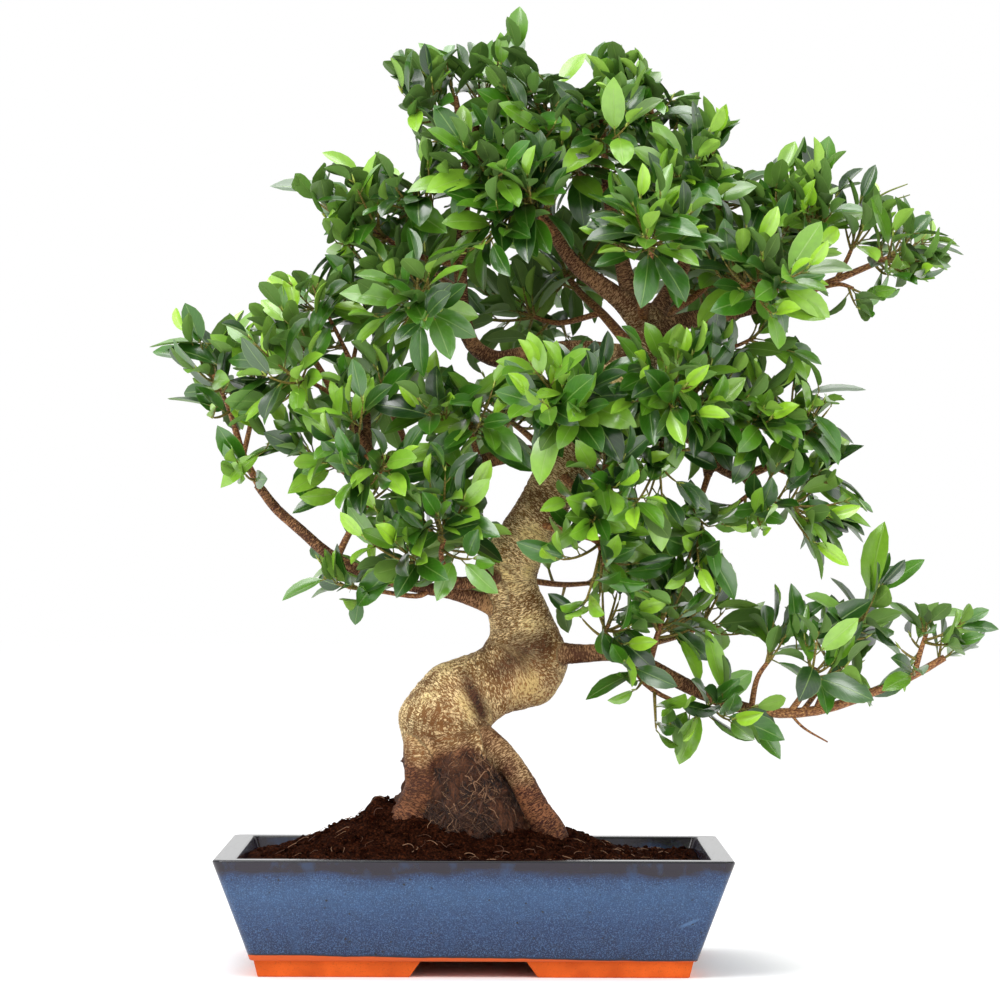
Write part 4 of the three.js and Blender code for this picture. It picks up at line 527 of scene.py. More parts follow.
loneLeaves = [
    (37, 836, 39, 877, 20), (112, 809, 117, 845, 20), (120, 797, 138, 834, 22), (74, 803, 100, 834, 15),
    (-18, 809, -54, 843, 15), (-45, 785, -70, 833, 21), (-121, 702, -190, 711, 12),
    (-106, 721, -142, 742, 11), (-248, 566, -300, 563, 7), (-252, 565, -267, 604, 20),
    (-241, 509, -283, 516, 5), (-196, 466, -234, 434, 17), (-137, 351, -177, 331, 12),
    (-106, 334, -110, 309, 14), (195, 743, 242, 771, 10), (279, 719, 292, 754, 18),
    (317, 719, 323, 759, 20), (393, 662, 417, 687, 16), (411, 659, 447, 650, 6), (392, 636, 415, 625, 6),
    (288, 561, 317, 549, 8), (301, 521, 358, 526, 6), (314, 450, 356, 475, 9), (363, 335, 375, 406, 22),
    (370, 340, 412, 371, 15), (294, 292, 289, 349, 17), (308, 294, 364, 334, 23),
    (207, 230, 187, 182, 22), (246, 230, 280, 187, 19), (152, 267, 101, 241, 10),
    (204, 342, 231, 363, 18), (226, 248, 211, 307, 19), (446, 312, 471, 325, 11),
    (442, 308, 480, 307, 10), (305, 406, 331, 372, 8), (295, 414, 363, 400, 12),
    (-161, 457, -157, 424, 20), (-126, 427, -168, 411, 12),
]
# Twigs that have lost their leaves: how green each is, then x, y, z and radius along it.
bareTwigs = {
    "low_right_end": [(0.0, [(286, -14, 232, 1.5), (300, -15, 217, 1.2), (322, -16, 204, 0.7)])],
    "high_right_end": [
        (1.0, [(356, -10, 694, 1.3), (374, -12, 706, 0.9), (394, -13, 714, 0.5)]),
        (1.0, [(360, -10, 690, 1.2), (378, -14, 698, 0.8), (396, -15, 704, 0.5)]),
    ],
}

# Materials

def tint(red, green, blue):  # a colour as seen on a screen, 0 to 255
    parts = (((v / 255 + 0.055) / 1.055) ** 2.4 if v > 10 else v / 3295 for v in (red, green, blue))
    return (*parts, 1.0)


def newMaterial(name, roughness=0.5, **sockets):
    made = bpy.data.materials.new(name)
    made.use_nodes = True
    shader = made.node_tree.nodes["Principled BSDF"]
    shader.inputs["Roughness"].default_value = roughness
    for socket, value in sockets.items():
        shader.inputs[socket.replace("_", " ")].default_value = value
    return made, made.node_tree, shader


def addNode(tree, kind, settings=None, **inputs):
    # An input is named by its socket, or by its place as i0, i1 and so on. It is a link or a fixed value.
    made = tree.nodes.new("ShaderNode" + kind)
    for key, value in (settings or {}).items():
        setattr(made, key, value)
    for key, value in inputs.items():
        byPlace = key[0] == "i" and key[1:].isdigit()
        socket = made.inputs[int(key[1:]) if byPlace else key.replace("_", " ")]
        if isinstance(value, bpy.types.NodeSocket):
            tree.links.new(value, socket)
        else:
            socket.default_value = value
    return made


def objectPlace(tree):
    return addNode(tree, "TexCoord").outputs["Object"]


def attribute(tree, name, output):
    return addNode(tree, "Attribute", {"attribute_name": name}).outputs[output]


def toneParts(tree):  # the three values that a piece's vertices carry for its colour
    return addNode(tree, "SeparateColor", Color=attribute(tree, "tone", "Color")).outputs


def texture(tree, source, scale, detail=3.0, stretch=(1, 1, 1), **inputs):
    mapped = addNode(tree, "Mapping", Vector=source, Scale=stretch).outputs[0]
    return addNode(tree, "TexNoise", Vector=mapped, Scale=scale, Detail=detail, **inputs).outputs["Fac"]


def dots(tree, source, scale, inner, outer):  # 1 in the middle of scattered dots, 0 between them
    mapped = addNode(tree, "Mapping", Vector=source).outputs[0]
    away = addNode(tree, "TexVoronoi", Vector=mapped, Scale=scale).outputs["Distance"]
    return opposite(tree, step(tree, away, inner, outer))


def ramp(tree, value, *stops):
    made = addNode(tree, "ValToRGB", Fac=value)
    elements = made.color_ramp.elements
    while len(elements) < len(stops):
        elements.new(0.5)
    for element, (place, colour) in zip(elements, stops):
        element.position = place
        element.color = colour
    return made.outputs[0]


def calc(tree, how, first, second=0.0):
    return addNode(tree, "Math", {"operation": how}, i0=first, i1=second).outputs[0]


def plus(tree, first, second):
    return calc(tree, "ADD", first, second)


def minus(tree, first, second):
    return calc(tree, "SUBTRACT", first, second)


def times(tree, first, second):
    return calc(tree, "MULTIPLY", first, second)


def opposite(tree, value):
    return minus(tree, 1.0, value)


def sway(tree, value, amount):  # a noise value moved to lie about 0, and scaled
    return times(tree, minus(tree, value, 0.5), amount)


def step(tree, value, low, high, amount=None):  # 0 under low, and 1 or the amount over high
    made = addNode(tree, "MapRange", Value=value, From_Min=low, From_Max=high).outputs[0]
    return made if amount is None else times(tree, made, amount)


def blend(tree, share, first, second, how="MIX"):
    settings = {"data_type": "RGBA", "blend_type": how}
    return addNode(tree, "Mix", settings, i0=share, i6=first, i7=second).outputs[2]


def paint(tree, shader, colour):
    tree.links.new(colour, shader.inputs["Base Color"])


def bump(tree, shader, height, distance, strength=1.0):
    made = addNode(tree, "Bump", Height=height, Distance=distance, Strength=strength)
    tree.links.new(made.outputs[0], shader.inputs["Normal"])


barkSettings = {
    "pale": tint(255, 226, 170), "middle": tint(152, 112, 62), "dark": tint(92, 60, 26),
    "grey": tint(244, 220, 168), "moss": tint(232, 206, 138), "rust": tint(150, 88, 40),
    "matDark": tint(26, 12, 6), "matPale": tint(104, 60, 34),
    "stain": tint(60, 25, 13), "stainPale": tint(184, 120, 78),
    "twigPale": tint(188, 138, 84), "twigMiddle": tint(128, 78, 42), "twigDark": tint(74, 40, 20),
    "greenDark": tint(88, 96, 34), "greenPale": tint(128, 140, 56),
    "greyFrom": 0.36, "greyTo": 0.62,  # heights in metres between which the bark turns grey
}


def barkMaterial():
    s = barkSettings
    made, tree, shader = newMaterial("barkPale", 0.7, Specular_IOR_Level=0.3)
    place = attribute(tree, "barkPlace", "Vector")
    matAndShade = attribute(tree, "barkMatAndShade", "Fac")
    stain = attribute(tree, "barkStain", "Fac")
    height = addNode(tree, "SeparateXYZ", Vector=objectPlace(tree)).outputs[2]
    # Flecks lie across the limb: short along it and long round it.
    flecks = texture(tree, place, 300, stretch=(3.3, 1, 1), Roughness=0.6, Distortion=0.7)
    patches = texture(tree, place, 26, stretch=(1.3, 1, 1))
    hairs = texture(tree, place, 520, 4.0, stretch=(0.35, 1, 1), Roughness=0.7, Distortion=1.2)
    fine = texture(tree, place, 620, stretch=(2.2, 1, 1))
    rings = texture(tree, place, 70, 2.0, stretch=(3.2, 0.4, 0.4))
    broad = texture(tree, place, 13)
    ground = ramp(tree, patches, (0.32, s["dark"]), (0.62, s["middle"]))
    upper = blend(tree, step(tree, height, s["greyFrom"], s["greyTo"]), s["pale"], s["grey"])
    mossy = blend(tree, step(tree, patches, 0.5, 0.68), upper, s["moss"])
    fleck = step(tree, plus(tree, flecks, sway(tree, patches, 0.42)), 0.46, 0.57)
    wood = blend(tree, fleck, ground, mossy)
    wood = blend(tree, step(tree, broad, 0.46, 0.7, 0.36), wood, s["rust"])
    wood = blend(tree, stain, wood, blend(tree, times(tree, fleck, 0.6), s["stain"], s["stainPale"]))
    wood = blend(tree, step(tree, rings, 0.56, 0.74, 0.5), wood, s["dark"])
    wood = blend(tree, step(tree, fine, 0.5, 0.8, 0.3), wood, s["dark"])
    # The root mat, the darker bark near the soil, and the painted shade in the furrow, hollows and creases
    # take the mat's colour.
    deep = times(tree, matAndShade, plus(tree, 0.6, fine))
    mat = ramp(tree, hairs, (0.36, s["matDark"]), (0.68, s["matPale"]))
    paint(tree, shader, blend(tree, step(tree, deep, 0.1, 0.95), wood, mat))
    bump(tree, shader, plus(tree, times(tree, fleck, 0.7), times(tree, fine, 0.5)), 0.0011, 0.8)
    return made


def twigMaterial():
    s = barkSettings
    made, tree, shader = newMaterial("twigBark", 0.6, Specular_IOR_Level=0.4)
    green = toneParts(tree)[1]
    flecks = texture(tree, objectPlace(tree), 420, 4.0, stretch=(1, 1, 2.2), Roughness=0.65)
    wood = ramp(tree, flecks, (0.36, s["twigDark"]), (0.5, s["twigMiddle"]), (0.62, s["twigPale"]))
    young = ramp(tree, flecks, (0.35, s["greenDark"]), (0.65, s["greenPale"]))
    paint(tree, shader, blend(tree, green, wood, young))
    bump(tree, shader, flecks, 0.0006, 0.6)
    return made


leafSettings = {
    "dark": tint(18, 60, 8), "mid": tint(64, 126, 18), "fresh": tint(152, 204, 58),
    "young": tint(168, 220, 54), "under": tint(124, 154, 84), "vein": tint(150, 182, 96),
    "rim": tint(150, 184, 96), "veinOften": 66.0, "veinSlant": 0.55,
    "leafTop": {"roughness": 0.3, "Specular_IOR_Level": 0.8, "Coat_Weight": 0.5, "Coat_Roughness": 0.16},
    "leafUnder": {"roughness": 0.5, "Specular_IOR_Level": 0.35, "Coat_Weight": 0.0, "Coat_Roughness": 0.16},
}


def leafMaterial(name):
    s = leafSettings
    under = name == "leafUnder"
    made, tree, shader = newMaterial(name, **s[name])
    where = addNode(tree, "UVMap", {"uv_map": "leafPlace"}).outputs[0]
    across, along, _ = addNode(tree, "SeparateXYZ", Vector=where).outputs
    chance, young, _ = toneParts(tree)
    old = ramp(tree, chance, (0.0, s["dark"]), (0.55, s["mid"]), (1.0, s["fresh"]))
    body = blend(tree, step(tree, young, 0.25, 1.0), old, s["young"])
    patches = texture(tree, objectPlace(tree), 160, 2.0)
    body = blend(tree, times(tree, patches, 0.35), body, s["dark"], "MULTIPLY")
    if under:
        body = blend(tree, 0.5, body, s["under"])
    off = calc(tree, "ABSOLUTE", minus(tree, across, 0.5))
    rib = opposite(tree, step(tree, off, 0.01, 0.034))
    # Side veins run out and forward from the midrib.
    slant = minus(tree, along, times(tree, off, s["veinSlant"]))
    wave = calc(tree, "SINE", times(tree, slant, s["veinOften"]))
    veins = step(tree, wave, 0.72, 1.0)
    marks = calc(tree, "MAXIMUM", times(tree, rib, 0.42), times(tree, veins, 0.05))
    body = blend(tree, marks, body, s["vein"])
    body = blend(tree, step(tree, off, 0.455, 0.485, 0.25), body, s["rim"])
    paint(tree, shader, body)
    height = plus(tree, times(tree, rib, 0.8 if under else -0.8), times(tree, veins, -0.12))
    bump(tree, shader, height, 0.0004, 0.5)
    return made


def budMaterial():
    made, tree, shader = newMaterial("budScale", 0.4)
    scales = texture(tree, objectPlace(tree), 500, 2.0)
    paint(tree, shader, ramp(tree, scales, (0.3, tint(132, 150, 52)), (0.7, tint(186, 196, 96))))
    return made


trunkMaterial = barkMaterial()
leafyMaterials = [leafMaterial("leafTop"), leafMaterial("leafUnder"), twigMaterial(), budMaterial()]
underSlot, woodSlot, budSlot = 1, 2, 3  # as in the list above
print("materials for wood and leaves")

# Shapes that repeat, each made once: a tube for wood, a leaf on its stalk, and a bud.

def keep(bm, name):
    mesh = bpy.data.meshes.new(name)
    bm.to_mesh(mesh)
    bm.free()
    return mesh


def newObject(name, data):
    made = bpy.data.objects.new(name, data)
    bpy.context.scene.collection.objects.link(made)
    return made


def applied(mesh, name, *steps):  # the mesh as its modifiers leave it
    holder = newObject(name, mesh)
    for kind, settings in steps:
        modifier = holder.modifiers.new(kind, kind)
        for key, value in settings.items():
            setattr(modifier, key, value)
    made = bpy.data.meshes.new_from_object(holder.evaluated_get(bpy.context.evaluated_depsgraph_get()))
    bpy.data.objects.remove(holder)
    made.name = name
    return made


def finish(mesh, name, materials, nodes):
    piece = newObject(name, mesh)
    for used in materials:
        mesh.materials.append(used)
    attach(piece, "root")
    if nodes:
        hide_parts(*nodes)


def picked(items, kind):  # the vertices, edges or faces among what an operator returns
    return [item for item in items if isinstance(item, kind)]


def smoothAll(bm):
    for face in bm.faces:
        face.smooth = True


def faceOut(bm):
    bmesh.ops.recalc_face_normals(bm, faces=bm.faces[:])


def tubeShape(sides, steps, pointed=False):
    # A unit tube along z, closed at both ends, and the number of its steps.
    bm = bmesh.new()
    bmesh.ops.create_circle(bm, cap_ends=True, segments=sides, radius=1)
    bmesh.ops.reverse_faces(bm, faces=bm.faces[:])
    rim = bm.edges[:]
    for _ in range(steps):
        grown = bmesh.ops.extrude_edge_only(bm, edges=rim)["geom"]
        ring = picked(grown, bmesh.types.BMVert)
        rim = picked(grown, bmesh.types.BMEdge)
        bmesh.ops.translate(bm, verts=ring, vec=(0, 0, 1 / steps))
    if pointed:
        bmesh.ops.pointmerge(bm, verts=ring, merge_co=(0, 0, 1))
    else:
        bmesh.ops.contextual_create(bm, geom=rim)
    smoothAll(bm)
    faceOut(bm)
    return keep(bm, "tubeShape"), steps


leafShape = {
    "blade": ((0.0, 0.05), (0.09, 0.4), (0.24, 0.8), (0.42, 0.99), (0.62, 0.97), (0.8, 0.7), (0.93, 0.28),
              (1.0, 0.0)),
    "columns": 4, "thick": 0.32, "rib": 2.6,
    "stalk": 0.15, "stalkUnderBlade": 0.06, "stalkRadius": 0.75, "stalkTaper": 0.8, "stalkSides": 5,
}


def leafTemplate():
    # x is the share of the half width, y runs from root to tip, z counts thicknesses.
    s = leafShape
    rows = len(s["blade"]) - 1
    bm = bmesh.new()
    uv = bm.loops.layers.uv.new("leafPlace")
    bmesh.ops.create_grid(bm, x_segments=s["columns"], y_segments=rows, size=0.5)
    for face in bm.faces:
        for loop in face.loops:
            loop[uv].uv = (loop.vert.co.x + 0.5, loop.vert.co.y + 0.5)
    for vert in bm.verts:
        along, half = s["blade"][round((vert.co.y + 0.5) * rows)]
        vert.co.x *= 2 * half
        vert.co.y = s["stalk"] + along * (1 - s["stalk"])
    lower = bmesh.ops.duplicate(bm, geom=bm.verts[:] + bm.edges[:] + bm.faces[:])["geom"]
    lowerFaces = picked(lower, bmesh.types.BMFace)
    bmesh.ops.reverse_faces(bm, faces=lowerFaces)
    for face in lowerFaces:
        face.material_index = underSlot
        for vert in face.verts:
            if not vert.is_boundary:
                vert.co.z = -s["rib"] if abs(vert.co.x) < 1e-4 else -1
    bmesh.ops.remove_doubles(bm, verts=bm.verts[:], dist=1e-5)
    for edge in bm.edges:
        edge.smooth = len({face.material_index for face in edge.link_faces}) < 2
    stalk = bmesh.ops.create_cone(bm, cap_ends=True, segments=s["stalkSides"], radius1=1,
                                  radius2=s["stalkTaper"], depth=1)["verts"]
    for vert in stalk:  # the stalk's z is along the leaf, its own x and y are in stalk radii
        along = (vert.co.z + 0.5) * (s["stalk"] + s["stalkUnderBlade"])
        vert.co = Vector((vert.co.x, along, vert.co.y))
    stalkFaces = list({face for vert in stalk for face in vert.link_faces})
    for face in stalkFaces:
        face.material_index = woodSlot
    bmesh.ops.recalc_face_normals(bm, faces=stalkFaces)
    smoothAll(bm)
    return keep(bm, "leafTemplate")


leafMesh = leafTemplate()
twigTube = tubeShape(6, 7, pointed=True)
stemTube = tubeShape(8, 12)
budTube = tubeShape(5, 3, pointed=True)


def addShape(bm, mesh, move, tone=None, material=None):
    start = len(bm.verts)
    first = len(bm.faces)
    bm.from_mesh(mesh)
    bm.verts.ensure_lookup_table()
    layer = bm.verts.layers.float_color.get("tone")
    for vert in bm.verts[start:]:
        vert.co = move(vert)
        if tone is not None:
            vert[layer] = tone(vert) if callable(tone) else tone
    if material is not None:
        bm.faces.ensure_lookup_table()
        for face in bm.faces[first:]:
            face.material_index = material


# Lines that wood follows

def splinePoint(points, at):  # points are vectors of any length, at runs from 0 to 1
    last = len(points) - 1
    k = min(int(at * last), last - 1)
    t = at * last - k
    p1, p2 = points[k], points[k + 1]
    p0 = points[k - 1] if k > 0 else p1 * 2 - p2
    p3 = points[k + 2] if k + 2 <= last else p2 * 2 - p1
    return 0.5 * (2 * p1 + (p2 - p0) * t + (2 * p0 - 5 * p1 + 4 * p2 - p3) * t * t
                  + (3 * p1 - p0 - 3 * p2 + p3) * t * t * t)


def smallestAxis(direction):
    sizes = [abs(v) for v in direction]
    return Vector([1.0 if k == sizes.index(min(sizes)) else 0.0 for k in range(3)])


def frameAlong(line, count):
    # Middle, across and deep of count rings along a line, turned as little as possible.
    middles = [line(k / (count - 1)) for k in range(count)]
    frames = []
    across = None
    for k, middle in enumerate(middles):
        along = (middles[min(k + 1, count - 1)] - middles[max(k - 1, 0)]).normalized()
        if across is None:
            across = along.cross(smallestAxis(along)).normalized()
        across = (across - along * across.dot(along)).normalized()
        frames.append((middle, across, along.cross(across)))
    return frames


def wrapTube(bm, tube, line, radius, tone=None, material=None):
    mesh, steps = tube
    frames = frameAlong(line, steps + 1)

    def move(vert):
        middle, across, deep = frames[round(vert.co.z * steps)]
        return middle + (across * vert.co.x + deep * vert.co.y) * radius(vert.co.z)
    addShape(bm, mesh, move, tone, material)


def woodLine(points):  # place and radius in metres at each point of a limb or stem
    return [Vector((*spot(*p[:3]), p[3] * mm)) for p in points]


def addWood(bm, tube, points, tone=None, material=None):
    line = woodLine(points)
    wrapTube(bm, tube, lambda at: splinePoint(line, at).to_3d(), lambda at: splinePoint(line, at)[3],
             tone, material)


# The photograph's view, used by the crown's outline and by the camera

studio = {
    "eye": (16, -4185, 392), "lens": 164.45, "pitch": 0.439, "yaw": -0.088, "roll": -0.18,
    "world": 1.0, "white": (1, 1, 1, 1), "floor": 12,
    "lamps": {  # place, what it points at, width and height in metres, and power
        "keyLight": ((-900, -1500, 1900), (60, 0, 450), (1.2, 1.2), 30),
        "fillLight": ((1700, -1300, 900), (60, 0, 400), (1.0, 1.6), 9),
        "topLight": ((0, 300, 2300), (60, 0, 500), (1.6, 1.6), 28),
    },
}

# Trunk, roots and limbs as one skin

trunkSettings = {
    "voxel": 0.0019, "soften": 5, "sides": 28, "steps": 90, "limbSides": 14, "limbSteps": 36,
    "trunkPoints": 360, "limbPoints": 60, "runApart": 0.7, "fullRelief": 0.02, "matFrom": 0.3,
    "rootMass": ((-10, -6, 200, 28), (-10, -10, 172, 38), (-10, -13, 146, 47), (-6, -14, 116, 54)),
    "youngStain": 0.88, "youngUpTo": 0.0065, "youngSoft": 0.011,
    "rootSkin": 1.02, "rootSoft": 0.3, "matOffLeftRoot": 0.7, "nearSoil": 0.8, "raggedOften": 0.05,
    "markDepth": 0.4,
}
# Height of each kind of relief in metres, and how often it comes in a metre along and round a limb.
barkRelief = {
    "swell": (0.0013, 28, 28), "ridge": (0.0006, 210, 34), "grain": (0.00035, 420, 120),
    "lump": (0.006, 60, 70), "crease": (0.005, 60, 200),
}
# Where each change of colour ends upwards: its height, how ragged it is and how soft.
barkEdges = {
    "mat": (198, 16, 22), "nearSoil": (132, 14, 30), "stain": (214, 22, 34), "stainOnRightRoot": (208, 20, 46),
}
# Painted shade in the trunk's furrow and hollows and in the creases where limbs leave it: x, y, z, radius and
# strength, along each line.
paintedShadeMarks = [
    [(-10, -45, 266, 6, 0.7), (-5, -48, 256, 9, 0.9), (0, -46, 244, 8, 1.0), (6, -42, 230, 7, 1.0)],
    [(8, -40, 222, 5, 0.8), (20, -38, 214, 5, 0.6)],
    [(141, -6, 556, 10, 1.0), (146, -8, 548, 6, 0.8)],
    [(12, -24, 356, 4, 0.9), (24, -25, 350, 3.4, 0.8), (31, -25, 338, 3, 0.7), (28, -25, 326, 3, 0.5)],
    [(8, -20, 346, 3.4, 0.9), (17, -24, 341, 3, 0.8), (20, -24, 332, 3, 0.6)],
    [(14, -24, 368, 3, 0.7), (30, -26, 362, 3, 0.7), (41, -26, 350, 3, 0.4)],
    [(26, -38, 272, 13, 0.6), (42, -40, 283, 17, 0.8), (60, -36, 294, 15, 0.7)],
]


def trunkRing(at):  # middle in metres, then width, rise and depth share
    leftX, leftZ, rightX, rightZ, share, back = splinePoint([Vector(ring) for ring in trunkRings], at)
    middle = spot((leftX + rightX) / 2, back, (leftZ + rightZ) / 2)
    return middle, rightX - leftX, rightZ - leftZ, share


def trunkBody():
    bm = bmesh.new()
    mesh, steps = tubeShape(trunkSettings["sides"], trunkSettings["steps"])
    frames = []
    for k in range(steps + 1):
        middle, wide, rise, share = trunkRing(k / steps)
        across = Vector((wide, 0, rise)) * (mm / 2)
        frames.append((middle, across, across.length * share))

    def move(vert):
        middle, across, deep = frames[round(vert.co.z * steps)]
        return middle + across * vert.co.x + Vector((0, deep, 0)) * vert.co.y
    addShape(bm, mesh, move)
    limbTube = tubeShape(trunkSettings["limbSides"], trunkSettings["limbSteps"])
    for points in [*limbs.values(), trunkSettings["rootMass"]]:
        addWood(bm, limbTube, points)
    faceOut(bm)
    return keep(bm, "trunkBody")


def woodLines():
    # Every line of wood as close points: the frame at each, and the radii.
    count = trunkSettings["trunkPoints"]
    rings = [trunkRing(k / (count - 1)) for k in range(count)]
    radii = [math.hypot(wide, rise) / (4 * perMetre) * (1 + share) for _, wide, rise, share in rings]
    lines = [(frameAlong(lambda at: trunkRing(at)[0], count), radii)]
    count = trunkSettings["limbPoints"]
    for points in limbs.values():
        line = woodLine(points)
        radii = [splinePoint(line, k / (count - 1))[3] for k in range(count)]
        lines.append((frameAlong(lambda at: splinePoint(line, at).to_3d(), count), radii))
    return lines


def barkPlaces(co):
    # For each point: how far along its limb it lies, and where round it, as one straightened limb.
    best = np.full(len(co), np.inf)
    places = np.zeros((len(co), 3))
    batch = 20000
    for number, (frames, radii) in enumerate(woodLines()):
        middles, across, deep = (np.array([list(f[k]) for f in frames]) for k in range(3))
        gone = np.linalg.norm(np.diff(middles, axis=0), axis=1)
        run = np.concatenate([[0], np.cumsum(gone)]) + number * trunkSettings["runApart"]
        radii = np.array(radii)
        for start in range(0, len(co), batch):
            part = co[start:start + batch]
            reach = (part ** 2).sum(1)[:, None] - 2 * part @ middles.T + (middles ** 2).sum(1)[None]
            nearest = reach.argmin(1)
            away = np.sqrt(np.maximum(reach[np.arange(len(part)), nearest], 0)) - radii[nearest]
            off = part - middles[nearest]
            found = np.stack([run[nearest] + (off * np.cross(across[nearest], deep[nearest])).sum(1),
                              (off * across[nearest]).sum(1), (off * deep[nearest]).sum(1)], axis=1)
            closer = away < best[start:start + batch]
            best[start:start + batch][closer] = away[closer]
            places[start:start + batch][closer] = found[closer]
    return places


def smooth01(value):
    value = np.clip(value, 0, 1)
    return value * value * (3 - 2 * value)


def rootNearness(x, y, z, name):  # 1 on a root's surface, 0 away from it
    steps = 24
    near = np.full(len(x), np.inf)
    points = [Vector(p) for p in limbs[name]]
    for k in range(steps + 1):
        px, py, pz, radius = splinePoint(points, k / steps)
        near = np.minimum(near, np.sqrt((x - px) ** 2 + (y - py) ** 2 + (z - pz) ** 2) / radius)
    return 1 - smooth01((near - trunkSettings["rootSkin"]) / trunkSettings["rootSoft"])


def darkness(co):
    # First 1 in the root mat, darker near the soil, and painted shade in the furrow, hollows and creases;
    # then 1 where wet soil has stained the roots.
    s = trunkSettings
    x, y, z = ((co - np.array(potMiddle)) * perMetre).T
    often = s["raggedOften"]
    uneven = np.array([noise.noise((a * often, b * often, c * often)) for a, b, c in zip(x, y, z)])

    def below(name):
        height, ragged, soft = barkEdges[name]
        return smooth01((height + ragged * uneven - z) / soft)
    right = rootNearness(x, y, z, "rootRight")
    left = rootNearness(x, y, z, "rootLeft")
    mat = below("mat") * (1 - right) * (1 - s["matOffLeftRoot"] * left)
    matAndShade = np.maximum(mat, below("nearSoil") * s["nearSoil"])
    for line in paintedShadeMarks:
        for first, second in zip(line[:-1], line[1:]):
            for t in np.linspace(0, 1, 5):
                px, py, pz, radius, strength = (a + (b - a) * t for a, b in zip(first, second))
                reach = ((x - px) ** 2 + ((y - py) * s["markDepth"]) ** 2 + (z - pz) ** 2) / radius ** 2
                matAndShade = np.maximum(matAndShade, strength * np.exp(-reach))
    stain = np.maximum(below("stain") * (1 - right), below("stainOnRightRoot") * right)
    return matAndShade, stain


def bumps(place, kind):
    along, around = barkRelief[kind][1:]
    return noise.noise((place[0] * along, place[1] * around, place[2] * around))


def barkLift(place, matAndShade):
    # Swells, ridges and grain on all bark, and lumps and creases in the root mat, near the soil and in the
    # strongest painted shade.
    high = {kind: row[0] for kind, row in barkRelief.items()}
    lift = high["swell"] * bumps(place, "swell") - high["ridge"] * (abs(bumps(place, "ridge")) * 2 - 0.6)
    lift += high["grain"] * bumps(place, "grain")
    lift *= min(1.0, math.hypot(place[1], place[2]) / trunkSettings["fullRelief"])
    if matAndShade > trunkSettings["matFrom"]:
        lumps = bumps(place, "lump") * high["lump"] + abs(bumps(place, "crease")) * high["crease"]
        lift += matAndShade * lumps
    return lift


def vertexVectors(mesh, name):
    values = np.zeros(len(mesh.vertices) * 3)
    mesh.vertices.foreach_get(name, values)
    return values.reshape(-1, 3)


def trunkBark():
    s = trunkSettings
    mesh = applied(trunkBody(), "trunkBark", ("REMESH", {"mode": "VOXEL", "voxel_size": s["voxel"]}),
                   ("SMOOTH", {"factor": 0.5, "iterations": s["soften"]}))
    mesh.polygons.foreach_set("use_smooth", [True] * len(mesh.polygons))
    co = vertexVectors(mesh, "co")
    normals = vertexVectors(mesh, "normal")
    places = barkPlaces(co)
    # One value for the root mat, the darker bark near the soil and the painted shade in hollows and creases.
    matAndShade, stain = darkness(co)
    # The limbs' younger bark is redder than the trunk's.
    reach = np.hypot(places[:, 1], places[:, 2])
    stain = np.maximum(stain, s["youngStain"] * (1 - smooth01((reach - s["youngUpTo"]) / s["youngSoft"])))
    lift = np.array([barkLift(place, dark) for place, dark in zip(places, matAndShade)])
    co += normals * lift[:, None]
    mesh.vertices.foreach_set("co", co.ravel())
    mesh.attributes.new("barkPlace", "FLOAT_VECTOR", "POINT").data.foreach_set("vector", places.ravel())
    mesh.attributes.new("barkMatAndShade", "FLOAT", "POINT").data.foreach_set("value", matAndShade)
    mesh.attributes.new("barkStain", "FLOAT", "POINT").data.foreach_set("value", stain)
    mesh.update()
    return mesh


trunkMesh = trunkBark()
finish(trunkMesh, "trunkBark", [trunkMaterial], ["trunk"])
print("trunk", len(trunkMesh.polygons), "faces")

# Foliage: the shoots of the solids with all their leaves, and a second shoot beside each

foliage = {
    "leafLength": 60, "leafSlender": 2.6, "leafGap": 10.5, "leafyLength": 80, "leafyShare": 0.82,
    "leaves": (3, 9), "turn": math.radians(137.5), "fullTurn": 6.28, "middle": Vector((70, 10, 520)),
    "shootThick": 1.7, "shootShare": 0.8, "shootTapers": 0.5, "shootPast": 0.02, "sag": 0.14,
    "rootsFrom": 0.02, "rootsBack": 0.3, "youngShare": 0.36, "youngSeed": 5000, "otherFlush": 0.25,
    "youngFades": 2.2, "chancePower": 1.2, "stalkGreen": 0.8, "shootTone": (0.5, 0.55, 0, 1),
    "fold": (0.1, 0.42), "firstFold": 0.35, "foldNarrows": 0.7, "twist": 0.5, "wave": 0.05, "waveOften": 9,
    "room": 3.8, "cell": 8, "overhang": (0.025, 9),
    "square": 2, "acrossFrom": -340, "acrossTo": 520, "upFrom": 150, "upTo": 920, "windowMargin": 1,
    "siblingReach": 27, "siblingBack": 0.3, "siblingSeed": 40000,
    "thin": (40, 612, 62), "thinSeeds": (2000, 4000),
}
# How a leaf stands at its shoot's end, and how that changes by the time it is full grown.
growth = {
    "grownAfter": 3.5, "opened": 0.35, "opensBy": 0.75, "openVaries": 0.3, "turnVaries": 0.7,
    "leansOut": 0.2, "rise": 0.1, "droop": 0.16,
    "faceAlong": 0.55, "faceOut": 0.5, "faceUp": 0.4, "faceFront": 0.12, "faceVaries": 0.9,
    "size": 0.62, "sizeGrows": 0.38, "leastSize": 0.86, "sizeVaries": 0.3, "widthVaries": 0.3,
    "curl": 0.25, "curlGrows": 0.5, "curlVaries": 0.15,
}
# A bud's length is a least value and what varies. Its radii at foot, tip and belly are in metres.
bud = {"length": (5, 6), "rise": 0.3, "sunk": 0.6, "foot": 0.0009, "tip": 0.00002, "belly": 0.0004}
